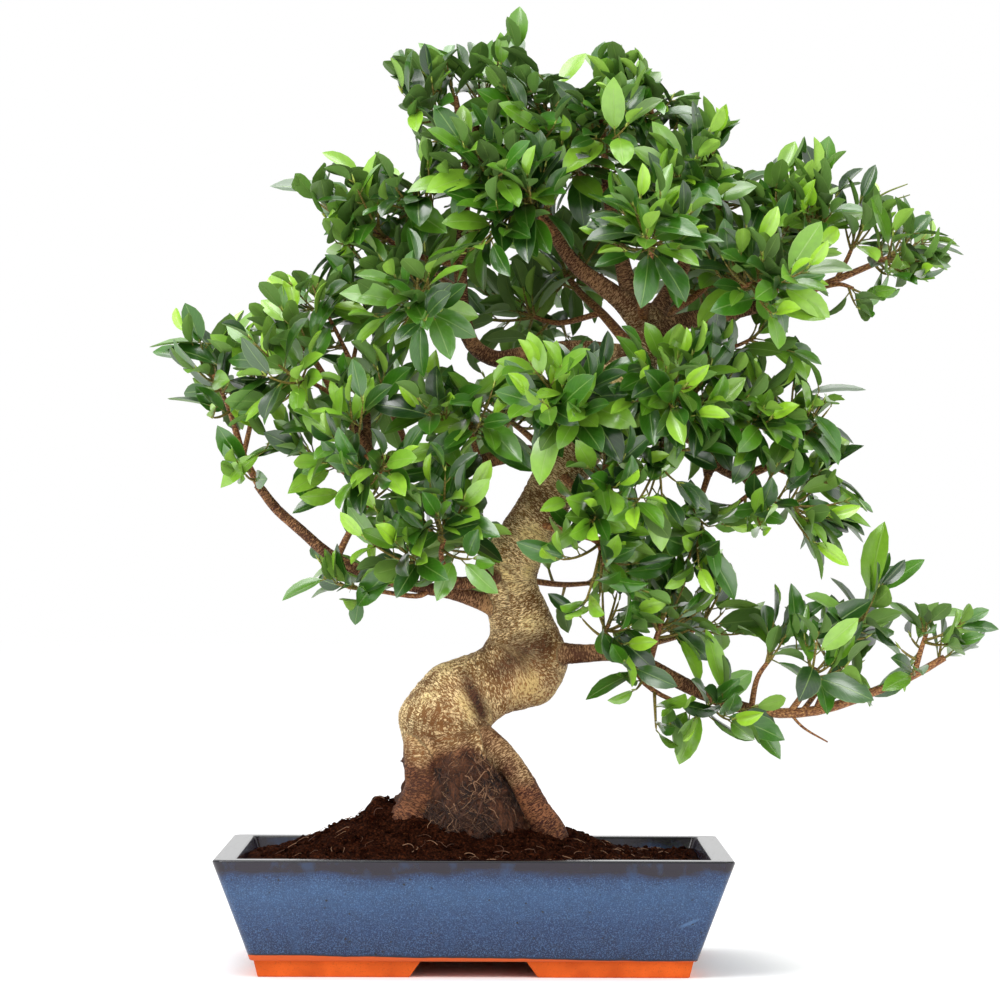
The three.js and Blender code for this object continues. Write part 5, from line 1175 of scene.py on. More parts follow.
# How a leaf that doesn't fit is tried again: turned about its shoot, tilted, and made smaller.
leafTries = (
    (0, 0, 1), (0.5, 0, 1), (-0.5, 0, 1), (0, 0.4, 1), (1, 0.2, 0.95), (-1, 0.2, 0.95),
    (0.5, -0.4, 0.9), (-0.5, -0.4, 0.9), (1.7, 0, 0.85), (-1.7, 0, 0.85), (3, 0, 0.8),
)
leafCells = {}  # where leaves already are, so that new ones keep off them


def nearestPlace(stems, target):
    best = None
    for points in stems:
        for k in range(len(points) - 1):
            a, b = Vector(points[k][:3]), Vector(points[k + 1][:3])
            share = max(0.0, min(1.0, (target - a).dot(b - a) / (b - a).length_squared))
            away = (a.lerp(b, share) - target).length
            if best is None or away < best[0] - 1e-6:
                best = (away, points, (k + share) / (len(points) - 1))
    return best


def shootLine(stems, tip):  # root, middle and end of a curved shoot, its length and its radius
    target = Vector(tip)
    away, points, at = nearestPlace(stems, target)
    length = sum((Vector(a[:3]) - Vector(b[:3])).length for a, b in zip(points[:-1], points[1:]))
    at = max(foliage["rootsFrom"], at - away * foliage["rootsBack"] / length)
    start = splinePoint([Vector(p) for p in points], at)
    root = Vector(start[:3])
    middle = root.lerp(target, 0.5)
    size = (target - root).length
    middle.z -= size * foliage["sag"]
    return root, middle, target, size, min(start[3] * foliage["shootShare"], foliage["shootThick"])


def bezier(root, middle, target, at):
    return root * (1 - at) ** 2 + middle * 2 * at * (1 - at) + target * at * at


def bezierWay(root, middle, target, at):
    return ((middle - root) * (1 - at) + (target - middle) * at).normalized()


def slender(draw):
    return foliage["leafSlender"] + spread(draw, growth["widthVaries"])


def leavesOn(root, middle, target, size, seed):
    g = growth
    draw = drawer(seed)
    spin = draw() * math.pi * 2
    fewest, most = foliage["leaves"]
    leafy = min(size * foliage["leafyShare"], foliage["leafyLength"])
    for order in range(max(fewest, min(most, int(leafy / foliage["leafGap"]) + 1))):
        age = min(1, order / g["grownAfter"])
        at = max(0.05, 1 - (1 + order * foliage["leafGap"]) / size)
        foot = bezier(root, middle, target, at)
        along = bezierWay(root, middle, target, at)
        across = along.cross(smallestAxis(along)).normalized()
        deep = across.cross(along)
        turn = spin + order * foliage["turn"] + spread(draw, g["turnVaries"])
        opened = g["opened"] + g["opensBy"] * age + spread(draw, g["openVaries"])
        out = (foot - foliage["middle"]).normalized()
        way = along * math.cos(opened) + across * math.cos(turn) * math.sin(opened)
        way += deep * math.sin(turn) * math.sin(opened) + out * g["leansOut"]
        way.z += g["rise"] - g["droop"] * age
        way.normalize()
        face = along * g["faceAlong"] + out * g["faceOut"]
        face.z += g["faceUp"]
        face.x += spread(draw, g["faceVaries"])
        face.y += spread(draw, g["faceVaries"]) - g["faceFront"]
        face = (face - way * face.dot(way)).normalized()
        length = foliage["leafLength"] * (g["size"] + g["sizeGrows"] * age)
        length *= g["leastSize"] + g["sizeVaries"] * draw()
        curl = g["curl"] + g["curlGrows"] * age * draw() + g["curlVaries"] * draw()
        yield {"foot": foot, "along": along, "way": way, "face": face, "length": length,
               "width": length / slender(draw), "curl": curl, "age": age, "order": order}


def leafMiddle(leaf, t):
    bent = leaf["curl"] * t
    along = leaf["way"] * (leaf["length"] * t * (1 - bent * bent / 6))
    return leaf["foot"] + along - leaf["face"] * (leaf["length"] * t * bent / 2)


def facingPlane(point):
    # Where a point is seen, from the camera, in the upright plane through the trunk.
    eye = Vector(studio["eye"])
    share = -eye.y / (point.y - eye.y)
    return eye.x + (point.x - eye.x) * share, eye.z + (point.z - eye.z) * share


def behindPlane(x, z, depth):
    # The point at a depth that is seen at a place in the plane of the trunk.
    eye = Vector(studio["eye"])
    share = (depth - eye.y) / -eye.y
    return Vector((eye.x + (x - eye.x) * share, depth, eye.z + (z - eye.z) * share))


def crownMap():
    # True on a grid of small squares where leaves may be seen: inside the outline, outside the windows.
    s = foliage
    x, z = np.meshgrid(np.arange(s["acrossFrom"], s["acrossTo"], s["square"]),
                       np.arange(s["upFrom"], s["upTo"], s["square"]), indexing="ij")
    within = np.zeros(x.shape, bool)
    for (ax, az), (bx, bz) in zip(crownOutline, crownOutline[1:] + crownOutline[:1]):
        if az != bz:
            within ^= ((az > z) != (bz > z)) & (x < ax + (z - az) * (bx - ax) / (bz - az))
    for px, pz, radius in crownWindows:
        within &= (x - px) ** 2 + (z - pz) ** 2 > (radius + s["windowMargin"]) ** 2
    return within


def inCrown(point):
    x, z = facingPlane(point)
    column = int((x - foliage["acrossFrom"]) / foliage["square"])
    row = int((z - foliage["upFrom"]) / foliage["square"])
    return 0 <= column < crown.shape[0] and 0 <= row < crown.shape[1] and crown[column, row]


def cellOf(p):
    return tuple(int(v // foliage["cell"]) for v in p)


def leafProbes(leaf):
    probes = [leafMiddle(leaf, t) for t in (0.4, 0.6, 0.8, 0.98)]
    side = leaf["face"].cross(leaf["way"]) * leaf["width"] * 0.36
    return probes + [probes[1] + side, probes[1] - side]


def crowded(probes):
    room = foliage["room"] ** 2
    for p in probes:
        a, b, c = cellOf(p)
        for cell in ((a + i, b + j, c + k) for i in (-1, 0, 1) for j in (-1, 0, 1) for k in (-1, 0, 1)):
            if any((p - q).length_squared < room for q in leafCells.get(cell, ())):
                return True
    return False


def reserve(probes):
    for p in probes:
        leafCells.setdefault(cellOf(p), []).append(p)


def allowedSpan(low, high):  # how far leaves may reach past the solids on one axis
    share, more = foliage["overhang"]
    return low - share * (high - low) - more * mm, high + share * (high - low) + more * mm


allowed = [allowedSpan(low, high) for low, high in zip(*cadBox)]


def insideBox(point):
    return all(low < v < high for v, (low, high) in zip(spot(*point), allowed))


def settle(leaf):
    # A leaf that would lie in another, or be seen outside the crown, turns about its shoot or gets smaller.
    for turn, tilt, size in leafTries:
        side = leaf["way"].cross(leaf["face"])
        turned = Matrix.Rotation(turn, 3, leaf["along"]) @ Matrix.Rotation(tilt, 3, side)
        trial = {**leaf, "way": turned @ leaf["way"], "face": turned @ leaf["face"],
                 "length": leaf["length"] * size, "width": leaf["width"] * size}
        probes = leafProbes(trial)
        if all(map(inCrown, probes)) and insideBox(probes[3]) and not crowded(probes):
            reserve(probes)
            return trial
    return None


def addLeaf(bm, leaf, draw, flush):
    least, most = foliage["fold"]
    fold = least + (most - least) * draw()
    if leaf["order"] == 0:
        fold += foliage["firstFold"]
    twist = spread(draw, foliage["twist"])
    phase = draw() * foliage["fullTurn"]
    chance = draw() ** foliage["chancePower"]
    young = max(0.0, 1 - leaf["age"] * foliage["youngFades"]) * flush
    half = leaf["width"] / 2
    side = leaf["face"].cross(leaf["way"])

    def move(vert):
        x, t, z = vert.co
        bent = leaf["curl"] * t
        normal = leaf["face"] * math.cos(bent) + leaf["way"] * math.sin(bent)
        lean = twist * t
        lateral = side * math.cos(lean) + normal * math.sin(lean)
        normal = normal * math.cos(lean) - side * math.sin(lean)
        middle = leafMiddle(leaf, t)
        if vert.link_faces[0].material_index == woodSlot:
            return spot(*(middle + (lateral * x + normal * z) * leafShape["stalkRadius"]))
        wave = math.sin(t * foliage["waveOften"] + phase + (2 if x > 0 else 0)) * foliage["wave"]
        rise = abs(x) * fold * half + wave * half * abs(x)
        out = x * half * math.cos(fold * foliage["foldNarrows"])
        return spot(*(middle + lateral * out + normal * (rise + z * leafShape["thick"])))

    def tone(vert):
        green = foliage["stalkGreen"] if vert.link_faces[0].material_index == woodSlot else young
        return chance, green, leaf["age"], 1
    addShape(bm, leafMesh, move, tone)


def addBud(bm, root, middle, target, draw):
    way = (bezierWay(root, middle, target, 1) + Vector((0, 0, bud["rise"]))).normalized()
    length = bud["length"][0] + bud["length"][1] * draw()
    wrapTube(bm, budTube, lambda at: spot(*(target + way * (at * length - bud["sunk"]))),
             lambda at: bud["foot"] * (1 - at) + bud["tip"] + bud["belly"] * math.sin(at * 3.1),
             (0.5, 1, 0, 1), budSlot)


def addShoot(bm, stems, tip, seed, fewest):  # gives the number of its leaves
    root, middle, target, size, radius = shootLine(stems, tip)
    draw = drawer(seed + foliage["youngSeed"])
    flush = 1.0 if draw() < foliage["youngShare"] else foliage["otherFlush"] * draw()
    leaves = [leaf for leaf in map(settle, leavesOn(root, middle, target, size, seed)) if leaf]
    if len(leaves) < fewest:
        return 0
    end = min(1, max(1 - leaf["order"] * foliage["leafGap"] / size for leaf in leaves) + foliage["shootPast"])
    wrapTube(bm, twigTube, lambda at: spot(*bezier(root, middle, target, at * end)),
             lambda at: radius * (1 - foliage["shootTapers"] * at) * mm, foliage["shootTone"], woodSlot)
    for leaf in leaves:
        addLeaf(bm, leaf, draw, flush)
    if leaves[0]["order"] == 0:
        addBud(bm, root, middle, target, draw)
    return len(leaves)


def siblingTip(stems, tip, draw):
    # A second shoot near each first one, drawn back towards the stem and turned about it.
    _, points, at = nearestPlace(stems, Vector(tip))
    foot = Vector(splinePoint([Vector(p) for p in points], at)[:3])
    shift = Vector((draw() - 0.5, (draw() - 0.62) * 1.3, draw() - 0.5)) * 2 * foliage["siblingReach"]
    return Vector(tip).lerp(foot, foliage["siblingBack"]) + shift


# A leaf that stands alone: how its shoot is found, and how it lies.
lone = {
    "seed": 7000, "seedStep": 13, "reach": 90, "backMost": 60, "depthCounts": 0.05,
    "along": (0.3, 0.5, 0.7, 0.85, 1), "lean": 10, "leanFront": 0.6, "footVaries": 3, "behindFoot": 0.09,
    "longer": 1.1, "wider": 1.05, "curl": 0.12, "curlVaries": 0.3, "twigRadius": 1.1, "twigTaper": 0.4,
}


def bearer(footX, footZ):
    # The shoot that comes nearest to a leaf's foot as seen from the front: its spray and the place on it.
    best = None
    for name, (stems, tips) in sprays.items():
        for tip in tips:
            far = max(abs(tip[0] - footX), abs(tip[2] - footZ)) > lone["reach"]
            if far or tip[1] > lone["backMost"]:
                continue
            root, middle, target = shootLine(stems, tip)[:3]
            for at in lone["along"]:
                place = bezier(root, middle, target, at)
                x, z = facingPlane(place)
                away = math.hypot(x - footX, z - footZ) + lone["depthCounts"] * abs(place.y)
                if best is None or away < best[0]:
                    best = (away, name, place)
    return best


def addLoneLeaf(footX, footZ, tipX, tipZ, seen, number):
    draw = drawer(lone["seed"] + number * lone["seedStep"])
    draw()
    away, name, place = bearer(footX, footZ)
    lean = (draw() - lone["leanFront"]) * lone["lean"]
    foot = behindPlane(footX, footZ, place.y - lone["footVaries"] * draw())
    line = behindPlane(tipX, tipZ, place.y + lean) - foot
    length = line.length * lone["longer"]
    straight = line.normalized()
    width = max(length / slender(draw), seen * lone["wider"])
    # The leaf is rolled about its length until it looks as narrow as it is seen.
    roll = math.acos(min(1, seen / width))
    front = (Vector((0, -1, 0)) - straight * -straight.y).normalized()
    upper = straight.cross(front)
    face = front * math.cos(roll) + upper * (math.sin(roll) if upper.z > 0 else -math.sin(roll))
    curl = lone["curl"] + lone["curlVaries"] * draw()
    tilt = math.atan2(curl / 2, 1 - curl * curl / 6)
    leaf = {"foot": foot - straight * length * lone["behindFoot"], "along": straight, "length": length,
            "width": width, "curl": curl, "way": straight * math.cos(tilt) + face * math.sin(tilt),
            "face": face * math.cos(tilt) - straight * math.sin(tilt), "age": 0.5 + 0.5 * draw(), "order": 2}
    reserve(leafProbes(leaf))
    bm = foliageMeshes[name]
    middle = place.lerp(leaf["foot"], 0.5) - Vector((0, 0, away * 0.1))
    wrapTube(bm, twigTube, lambda at: spot(*bezier(place, middle, leaf["foot"] + straight * 2, at)),
             lambda at: lone["twigRadius"] * mm * (1 - lone["twigTaper"] * at), (0.5, 0.7, 0, 1), woodSlot)
    addLeaf(bm, leaf, draw, 0)


def eachShoot():
    for number, (name, (stems, tips)) in enumerate(sprays.items()):
        for order, tip in enumerate(tips):
            yield foliageMeshes[name], stems, tip, 101 + number * 37 + order * 11


leafTotal = len(loneLeaves)
foliageMeshes = {}
crown = crownMap()
for name, (stems, tips) in sprays.items():
    foliageMeshes[name] = bmesh.new()
    foliageMeshes[name].verts.layers.float_color.new("tone")
    for green, points in [*((0.0, stem) for stem in stems), *bareTwigs.get(name, [])]:
        addWood(foliageMeshes[name], stemTube, points, (0.5, green, 0, 1), woodSlot)
for number, leaf in enumerate(loneLeaves):
    addLoneLeaf(*leaf, number)
for bm, stems, tip, seed in eachShoot():
    leafTotal += addShoot(bm, stems, tip, seed, 1)
for bm, stems, tip, seed in eachShoot():
    seed += foliage["siblingSeed"]
    draw = drawer(seed)
    draw()
    leafTotal += addShoot(bm, stems, siblingTip(stems, tip, draw), seed, 2)
    # Where the crown would be thin, each shoot gets two more.
    thinX, thinZ, reach = foliage["thin"]
    if math.hypot(tip[0] - thinX, tip[2] - thinZ) < reach:
        for further in foliage["thinSeeds"]:
            leafTotal += addShoot(bm, stems, siblingTip(stems, tip, draw), seed + further, 1)
for name, bm in foliageMeshes.items():
    finish(keep(bm, "foliage_" + name), "foliage_" + name, leafyMaterials, ["spray_" + name])
print("leaves", leafTotal)

# Pot: a tray with sloping sides, a flat lip and two drain holes, and its four feet

potSettings = {
    "width": 0.460, "depth": 0.350, "taper": 0.031, "top": 0.106, "footTop": 0.0146,
    "lip": 0.020, "floor": 0.025, "innerTaper": 0.0235, "corner": 0.009, "innerCorner": 0.006, "edge": 0.0022,
    "around": 32, "drain": 0.011, "drainSpread": 0.092, "drillDepth": 0.06,
    "footLength": 0.149, "footSide": 0.096, "footThick": 0.024, "footSlant": 0.011, "footInset": 0.004,
    "footSunk": 0.001, "footRounding": 0.0012,
}
glaze = {
    "top": tint(28, 20, 34), "bright": tint(38, 68, 106), "mid": tint(20, 42, 80), "low": tint(15, 31, 62),
    "dark": tint(8, 10, 20), "pale": tint(80, 116, 160), "clay": tint(200, 82, 22),
    "cloud": 0.022, "ragged": 0.003, "clayLine": 0.0166, "claySlope": 0.012, "lipEdge": (0.1042, 0.1058),
    "run": {"x": 0.19, "z": 0.05, "long": 0.011, "high": 0.0022, "slope": 0.42},
}


def glazeMaterial():
    s, run = glaze, glaze["run"]
    made, tree, shader = newMaterial("glazeBlue", 0.2, Specular_IOR_Level=0.5)
    place = objectPlace(tree)
    x, _, z = addNode(tree, "SeparateXYZ", Vector=place).outputs
    cloud = texture(tree, place, 24, 5.0, stretch=(1, 1, 2.4))
    level = plus(tree, z, sway(tree, cloud, s["cloud"]))
    bands = ramp(tree, calc(tree, "DIVIDE", level, potSettings["top"]), (0.14, s["low"]), (0.4, s["mid"]),
                 (0.74, s["bright"]), (0.85, s["mid"]), (0.91, s["top"]), (1.0, s["top"]))
    mottle = texture(tree, place, 75, 6.0, Roughness=0.75)
    body = blend(tree, step(tree, mottle, 0.44, 0.66, 0.24), bands, s["dark"])
    speckle = texture(tree, place, 900, Roughness=0.75)
    under = times(tree, opposite(tree, step(tree, level, 0.088, 0.096)), 0.6)
    body = blend(tree, times(tree, step(tree, speckle, 0.5, 0.62), under), body, s["pale"])
    streak = texture(tree, place, 70, stretch=(1, 1, 0.5))
    body = blend(tree, step(tree, streak, 0.56, 0.72, 0.4), body, s["bright"])
    pit = times(tree, dots(tree, place, 120, 0.09, 0.17), step(tree, mottle, 0.5, 0.54))
    body = blend(tree, times(tree, pit, 0.9), body, s["dark"])
    # A short run of thick glaze on the front, near the right end.
    aside = minus(tree, x, potMiddle.x + run["x"])
    above = minus(tree, minus(tree, z, run["z"]), times(tree, aside, run["slope"]))
    squares = [calc(tree, "POWER", calc(tree, "DIVIDE", way, size), 2.0)
               for way, size in ((aside, run["long"]), (above, run["high"]))]
    thick = opposite(tree, step(tree, plus(tree, *squares), 0.2, 1.0))
    body = blend(tree, times(tree, thick, 0.5), body, s["pale"])
    # The glaze is thin and dark on the lip.
    lip = step(tree, plus(tree, z, times(tree, mottle, 0.002)), *s["lipEdge"])
    body = blend(tree, lip, body, s["dark"])
    # Bare clay shows below a slanting glaze line.
    line = minus(tree, z, minus(tree, s["clayLine"], times(tree, x, s["claySlope"])))
    wavy = plus(tree, line, sway(tree, cloud, s["ragged"]))
    body = blend(tree, opposite(tree, step(tree, wavy, 0.0004, 0.0022)), body, s["dark"])
    bare = opposite(tree, step(tree, wavy, -0.0003, 0.0003))
    paint(tree, shader, blend(tree, bare, body, s["clay"]))
    rough = addNode(tree, "MapRange", Value=bare, To_Min=0.14, To_Max=0.75).outputs[0]
    tree.links.new(rough, shader.inputs["Roughness"])
    relief = minus(tree, mottle, times(tree, pit, 1.5))
    bump(tree, shader, plus(tree, relief, times(tree, thick, 4.0)), 0.0003, 0.3)
    return made


def clayMaterial():
    made, tree, shader = newMaterial("bareClay", 0.82, Specular_IOR_Level=0.25)
    place = objectPlace(tree)
    cloud = texture(tree, place, 40, 4.0)
    grit = texture(tree, place, 700, 2.0)
    body = ramp(tree, cloud, (0.3, tint(188, 76, 18)), (0.7, tint(222, 98, 28)))
    paint(tree, shader, blend(tree, step(tree, grit, 0.58, 0.7, 0.35), body, tint(140, 60, 24)))
    bump(tree, shader, grit, 0.0003, 0.4)
    return made


def roundedRing(verts, halfX, halfY, corner, height):
    # Lays a circle of points out as a rectangle with rounded corners.
    quarter = math.pi / 2
    steps = len(verts) // 4 - 1
    for vert, angle in verts:
        side = int(angle // quarter)
        share = round((angle - side * quarter) / quarter * (steps + 1) - 0.5) / steps
        turned = (side + share) * quarter
        signX, signY = ((1, 1), (-1, 1), (-1, -1), (1, -1))[side]
        vert.co = Vector((signX * (halfX - corner) + corner * math.cos(turned),
                          signY * (halfY - corner) + corner * math.sin(turned), height))


def potProfile():
    # How far each ring lies in from the rim, its height and its corner radius, from the foot to the floor.
    s = potSettings
    e = s["edge"]
    bends = [(e * (1 - math.sin(k * math.pi / 8)), e * (1 - math.cos(k * math.pi / 8))) for k in range(5)]
    rings = [(s["taper"] + sine, s["footTop"] + cosine, s["corner"]) for sine, cosine in bends]
    rings += [(cosine, s["top"] - sine, s["corner"]) for sine, cosine in bends]
    rings += [(s["lip"] - sine, s["top"] - cosine, s["innerCorner"]) for sine, cosine in bends]
    inner = s["lip"] + s["innerTaper"]
    return rings + [(inner - cosine, s["floor"] + sine, s["innerCorner"]) for sine, cosine in bends]


def potShell():
    s = potSettings
    bm = bmesh.new()
    start = bmesh.ops.create_circle(bm, cap_ends=True, segments=s["around"], radius=1)["verts"]
    turn = Matrix.Rotation(math.pi / s["around"], 3, "Z")
    ring = []
    for vert in start:
        vert.co = turn @ vert.co
        ring.append((vert, math.atan2(vert.co.y, vert.co.x) % (2 * math.pi)))
    rim = bm.edges[:]
    for number, (inset, height, corner) in enumerate(potProfile()):
        if number > 0:
            angles = {tuple(round(v, 6) for v in vert.co): angle for vert, angle in ring}
            grown = bmesh.ops.extrude_edge_only(bm, edges=rim)["geom"]
            rim = picked(grown, bmesh.types.BMEdge)
            verts = picked(grown, bmesh.types.BMVert)
            ring = [(vert, angles[tuple(round(v, 6) for v in vert.co)]) for vert in verts]
        roundedRing(ring, s["width"] / 2 - inset, s["depth"] / 2 - inset, corner, height)
    bmesh.ops.contextual_create(bm, geom=rim)
    faceOut(bm)
    bmesh.ops.translate(bm, verts=bm.verts[:], vec=potMiddle)
    smoothAll(bm)
    return keep(bm, "potBody")


def potBody():
    s = potSettings
    drill = bmesh.new()
    for side in (-1, 1):
        place = Matrix.Translation(potMiddle + Vector((side * s["drainSpread"], 0, s["floor"])))
        bmesh.ops.create_cone(drill, cap_ends=True, segments=32, radius1=s["drain"], radius2=s["drain"],
                              depth=s["drillDepth"], matrix=place)
    tool = newObject("drill", keep(drill, "drill"))
    mesh = applied(potShell(), "potBody", ("BOOLEAN", {"object": tool, "solver": "EXACT"}),
                   ("WEIGHTED_NORMAL", {"keep_sharp": True}))
    bpy.data.objects.remove(tool)
    return mesh


def footSplay(reach, length):  # how far a foot's lower edge stands off its upper one
    s = potSettings
    if reach < -length + mm:
        return s["footSlant"]
    return math.copysign(s["footSlant"] / 3, -s["footThick"] / 2 - reach)


def potFeet():
    s = potSettings
    cornerX = s["width"] / 2 - s["taper"] - s["footInset"]
    cornerY = s["depth"] / 2 - s["taper"] - s["footInset"]
    long, side, thick = -s["footLength"], -s["footSide"], -s["footThick"]
    plan = ((0, 0), (long, 0), (long, thick), (thick, thick), (thick, side), (0, side))
    bm = bmesh.new()
    corners = [bm.verts.new((cornerX + x, cornerY + y, s["footTop"] + s["footSunk"])) for x, y in plan]
    made = bmesh.ops.extrude_face_region(bm, geom=[bm.faces.new(corners)])["geom"]
    for vert in picked(made, bmesh.types.BMVert):
        x, y = vert.co.x - cornerX, vert.co.y - cornerY
        vert.co.z = 0
        vert.co.x += footSplay(x, s["footLength"])
        vert.co.y += footSplay(y, s["footSide"])
    faceOut(bm)
    bmesh.ops.bevel(bm, geom=bm.edges[:], offset=s["footRounding"], offset_type="OFFSET", segments=3,
                    profile=0.5, affect="EDGES", material=-1)
    one = bm.verts[:] + bm.edges[:] + bm.faces[:]
    for signX, signY in ((-1, 1), (1, -1), (-1, -1)):
        copy = bmesh.ops.duplicate(bm, geom=one)["geom"]
        bmesh.ops.scale(bm, verts=picked(copy, bmesh.types.BMVert), vec=(signX, signY, 1))
    faceOut(bm)
    bmesh.ops.translate(bm, verts=bm.verts[:], vec=potMiddle)
    return keep(bm, "potFeet")


finish(potBody(), "potBody", [glazeMaterial()], ["pot"])
finish(potFeet(), "potFeet", [clayMaterial()], ["pot"])
print("pot and feet")

# Soil: a crumbly heap over a body that fills the pot, with crumbs lying on it

soilSettings = {
    "edge": 95, "columns": 200, "rows": 150, "wallGap": 0.0004, "floorGap": 0.0024,
    "swells": ((-72, -6, 45, 88, 96), (66, 6, 28, 62, 90), (-8, -52, 9, 60, 26), (-86, -24, 15, 16, 20)),
    "roughness": ((5.0, 0.06, 3), (2.6, 0.2, 9), (1.5, 0.5, 5)),  # height, how often, and where in the noise
    "calmEdge": (9, 0.35), "crumbs": 2600, "crumbField": (396, 288), "crumbSize": (0.7, 2.6),
    "crumbSquash": ((0.7, 0.6), (0.7, 0.6), (0.6, 0.5)), "rootField": (62, 40),
}


def soilHeight(x, y):  # millimetres
    height = soilSettings["edge"]
    for swellX, swellY, rise, spreadX, spreadY in soilSettings["swells"]:
        height += rise * math.exp(-((x - swellX) / spreadX) ** 2 - ((y - swellY) / spreadY) ** 2)
    return height


def soilMaterial():
    made, tree, shader = newMaterial("darkPeat", 1.0, Specular_IOR_Level=0.02)
    place = objectPlace(tree)
    grain = texture(tree, place, 420, 5.0, Roughness=0.7)
    clods = texture(tree, place, 70, 4.0)
    body = ramp(tree, grain, (0.34, tint(14, 5, 3)), (0.5, tint(38, 17, 9)), (0.66, tint(78, 40, 22)))
    body = blend(tree, step(tree, clods, 0.4, 0.7), body, tint(150, 110, 90), "MULTIPLY")
    chip = times(tree, dots(tree, place, 300, 0.08, 0.2), step(tree, clods, 0.54, 0.6))
    paint(tree, shader, blend(tree, times(tree, chip, 0.55), body, tint(128, 84, 50)))
    bump(tree, shader, grain, 0.0016, 0.9)
    return made


def soilBody():
    s, pot = soilSettings, potSettings
    level = s["edge"] * mm
    deep = pot["top"] - pot["floor"]
    inset = pot["lip"] + pot["innerTaper"] * (pot["top"] - level) / deep + s["wallGap"]
    halfX, halfY = pot["width"] / 2 - inset, pot["depth"] / 2 - inset
    bm = bmesh.new()
    bmesh.ops.create_grid(bm, x_segments=s["columns"], y_segments=s["rows"], size=1)
    rim = [edge for edge in bm.edges if edge.is_boundary]
    for vert in bm.verts:
        x, y = vert.co.x * halfX * perMetre, vert.co.y * halfY * perMetre
        edge = max(abs(vert.co.x), abs(vert.co.y))
        rough = sum(high * noise.noise((x * often, y * often, z)) for high, often, z in s["roughness"])
        calm = min(1, (1 - edge) * s["calmEdge"][0] + s["calmEdge"][1])
        vert.co = spot(x, y, soilHeight(x, y) + rough * calm)
    lower = bmesh.ops.extrude_edge_only(bm, edges=rim)["geom"]
    shrink = 1 - (pot["innerTaper"] * (level - pot["floor"]) / deep) / halfX
    for vert in picked(lower, bmesh.types.BMVert):
        vert.co = (vert.co - potMiddle) * shrink + potMiddle
        vert.co.z = pot["floor"] + s["floorGap"]
    bmesh.ops.contextual_create(bm, geom=picked(lower, bmesh.types.BMEdge))
    faceOut(bm)
    smoothAll(bm)
    return bm


def addCrumbs(bm):
    s = soilSettings
    draw = drawer(77)
    ball = bmesh.new()
    bmesh.ops.create_icosphere(ball, subdivisions=1, radius=1)
    crumb = keep(ball, "crumb")
    for _ in range(s["crumbs"]):
        x, y = (spread(draw, width) for width in s["crumbField"])
        size = s["crumbSize"][0] + s["crumbSize"][1] * draw() ** 3
        if abs(x) < s["rootField"][0] and abs(y) < s["rootField"][1]:
            continue
        squash = Vector([least + more * draw() for least, more in s["crumbSquash"]])
        turned = Euler((draw() * 6, draw() * 6, draw() * 6)).to_matrix()
        middle = Vector((x, y, soilHeight(x, y) + size * 0.35 + 1.2 * noise.noise((x * 0.2, y * 0.2, 9))))
        start = Vector((draw() * 50, 0, 0))

        def move(vert):
            bumpy = 1 + 0.3 * noise.noise(vert.co * 1.7 + start)
            return spot(*(middle + turned @ Vector([a * b * size * bumpy for a, b in zip(vert.co, squash)])))
        addShape(bm, crumb, move)


soilBm = soilBody()
addCrumbs(soilBm)
finish(keep(soilBm, "soilHeap"), "soilHeap", [soilMaterial()], ["soil"])
print("soil")

# Fine roots: hairs over the root mat, and pale ends in the soil

fineRoots = {
    "hairs": 1600, "hairPoints": 6, "hairThick": (0.22, 0.6), "aroundMass": 4.6, "swirl": 0.34,
    "wander": 0.16, "lowest": 0.8, "offMass": (1, 3.5), "risesBy": 5, "sinks": 2, "hairStep": (0.02, 0.07),
    "ends": 150, "endPoints": 5, "endThick": (0.2, 0.35), "endField": (360, 250), "endLimit": (196, 142),
    "endStep": (2, 3), "endWander": 1.6,
}


def fineRootMaterial():
    made, tree, shader = newMaterial("rootHair", 0.7)
    own = toneParts(tree)[0]
    cloud = texture(tree, objectPlace(tree), 240)
    level = plus(tree, times(tree, own, 0.8), times(tree, cloud, 0.25))
    body = ramp(tree, level, (0.2, tint(30, 14, 8)), (0.6, tint(84, 50, 32)), (0.98, tint(172, 130, 96)))
    paint(tree, shader, body)
    return made


def addFineRoot(bm, tube, points, radius, pale):
    line = [spot(*p) for p in points]
    wrapTube(bm, tube, lambda at: splinePoint(line, at), lambda at: radius * mm * (1 - 0.6 * at),
             (pale, 0, 0, 1))


def hairPoints(draw, mass):
    # Runs down over the root mass, swirling round it.
    s = fineRoots
    turn = spread(draw, s["aroundMass"])
    at = draw() ** 0.8 * s["lowest"]
    swirl = spread(draw, s["swirl"])
    points = []
    for _ in range(s["hairPoints"]):
        x, y, z, radius = splinePoint(mass, max(0, min(1, at)))
        reach = radius + s["offMass"][0] + s["offMass"][1] * draw() ** 2
        x, y = x + math.sin(turn) * reach, y - math.cos(turn) * reach
        points.append((x, y, max(z + spread(draw, s["risesBy"]), soilHeight(x, y) - s["sinks"])))
        at += s["hairStep"][0] + s["hairStep"][1] * draw()
        turn += swirl + spread(draw, s["wander"])
    return points


def endPoints(draw):
    # Wanders over the soil, rising from it and dipping back.
    s = fineRoots
    limitX, limitY = s["endLimit"]
    x, y = (spread(draw, width) for width in s["endField"])
    turn = draw() * foliage["fullTurn"]
    points = []
    for k in range(s["endPoints"]):
        x += math.cos(turn) * (s["endStep"][0] + s["endStep"][1] * draw())
        y += math.sin(turn) * (s["endStep"][0] + s["endStep"][1] * draw())
        turn += spread(draw, s["endWander"])
        x, y = max(-limitX, min(limitX, x)), max(-limitY, min(limitY, y))
        points.append((x, y, soilHeight(x, y) + 1.4 + 1.6 * math.sin(k * 0.8)))
    return points


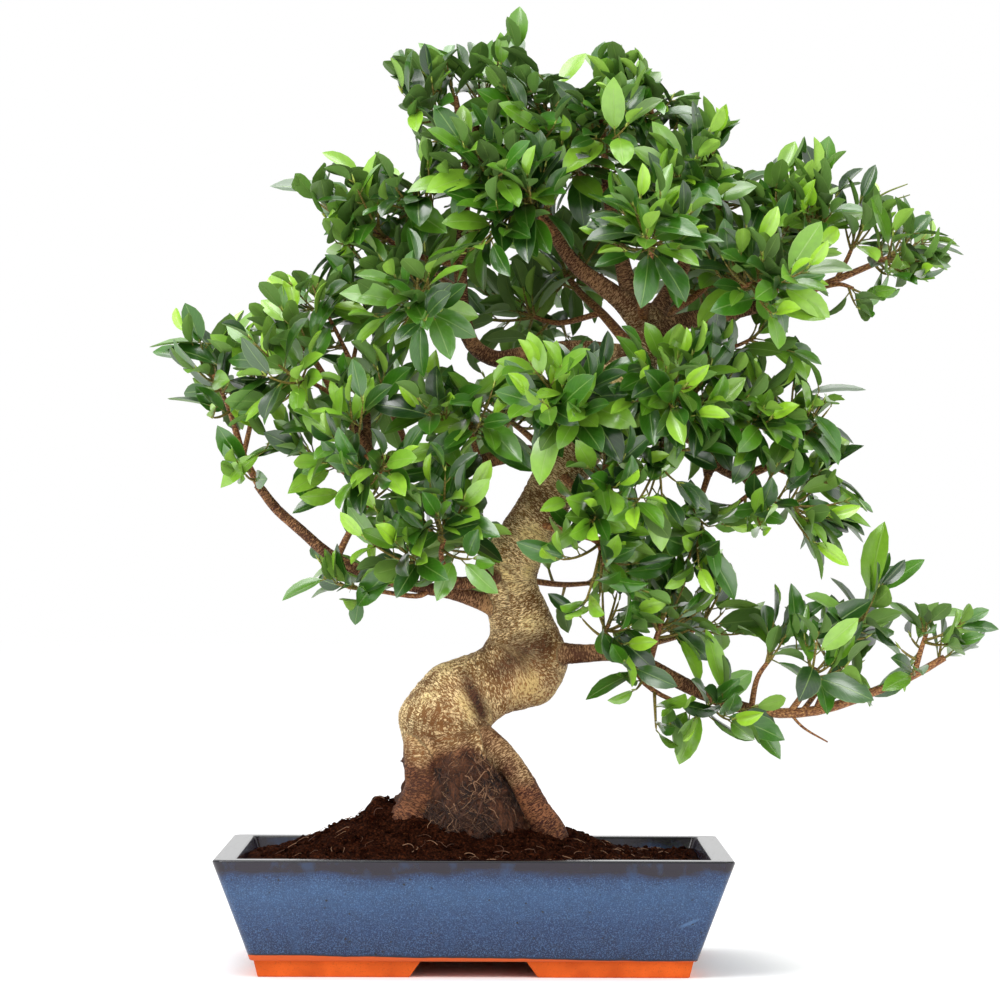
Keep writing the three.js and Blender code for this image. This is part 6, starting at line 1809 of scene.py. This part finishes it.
def rootHairs():
    s = fineRoots
    bm = bmesh.new()
    bm.verts.layers.float_color.new("tone")
    tube = tubeShape(4, 8, pointed=True)
    draw = drawer(909)
    mass = [Vector(p) for p in trunkSettings["rootMass"]]
    for _ in range(s["hairs"]):
        points = hairPoints(draw, mass)
        addFineRoot(bm, tube, points, s["hairThick"][0] + s["hairThick"][1] * draw() ** 3, draw() ** 1.5)
    for _ in range(s["ends"]):
        points = endPoints(draw)
        addFineRoot(bm, tube, points, s["endThick"][0] + s["endThick"][1] * draw() ** 2, 0.45 + 0.55 * draw())
    return keep(bm, "rootHairs")


finish(rootHairs(), "rootHairs", [fineRootMaterial()], [])
for name in ("screen_left", "screen_right"):
    made, tree, shader = newMaterial("meshPlastic", 0.6)
    weave = texture(tree, objectPlace(tree), 300, 2.0)
    paint(tree, shader, ramp(tree, weave, (0.3, tint(20, 20, 20)), (0.7, tint(40, 40, 40))))
    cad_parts[name].material_slots[0].material = made
print("root hairs and screens")

# Studio: pale floor, soft light and the photograph's view

scene = bpy.context.scene
camera = newObject("camera", bpy.data.cameras.new("camera"))
camera.location = spot(*studio["eye"])
camera.rotation_euler = [math.radians(v) for v in (90 + studio["pitch"], studio["roll"], studio["yaw"])]
camera.data.lens = studio["lens"]
camera.data.sensor_width = 36
camera.data.clip_end = 60
scene.camera = camera


def floorPiece():
    bm = bmesh.new()
    bmesh.ops.create_grid(bm, x_segments=1, y_segments=1, size=studio["floor"])
    plane = newObject("floor", keep(bm, "floor"))
    made, tree, shader = newMaterial("paleFloor", 1.0, Specular_IOR_Level=0.0)
    shader.inputs["Base Color"].default_value = studio["white"]
    plane.data.materials.append(made)


def lamp(name, place, target, size, power):
    data = bpy.data.lights.new(name, "AREA")
    data.shape = "RECTANGLE"
    data.size, data.size_y = size
    data.energy = power
    light = newObject(name, data)
    light.location = spot(*place)
    light.rotation_euler = (spot(*target) - light.location).to_track_quat("-Z", "Y").to_euler()


floorPiece()
for name, settings in studio["lamps"].items():
    lamp(name, *settings)
world = bpy.data.worlds.new("studio")
world.use_nodes = True
background = world.node_tree.nodes["Background"].inputs
background["Color"].default_value = studio["white"]
background["Strength"].default_value = studio["world"]
scene.world = world
scene.view_settings.view_transform = "Standard"
print("studio")
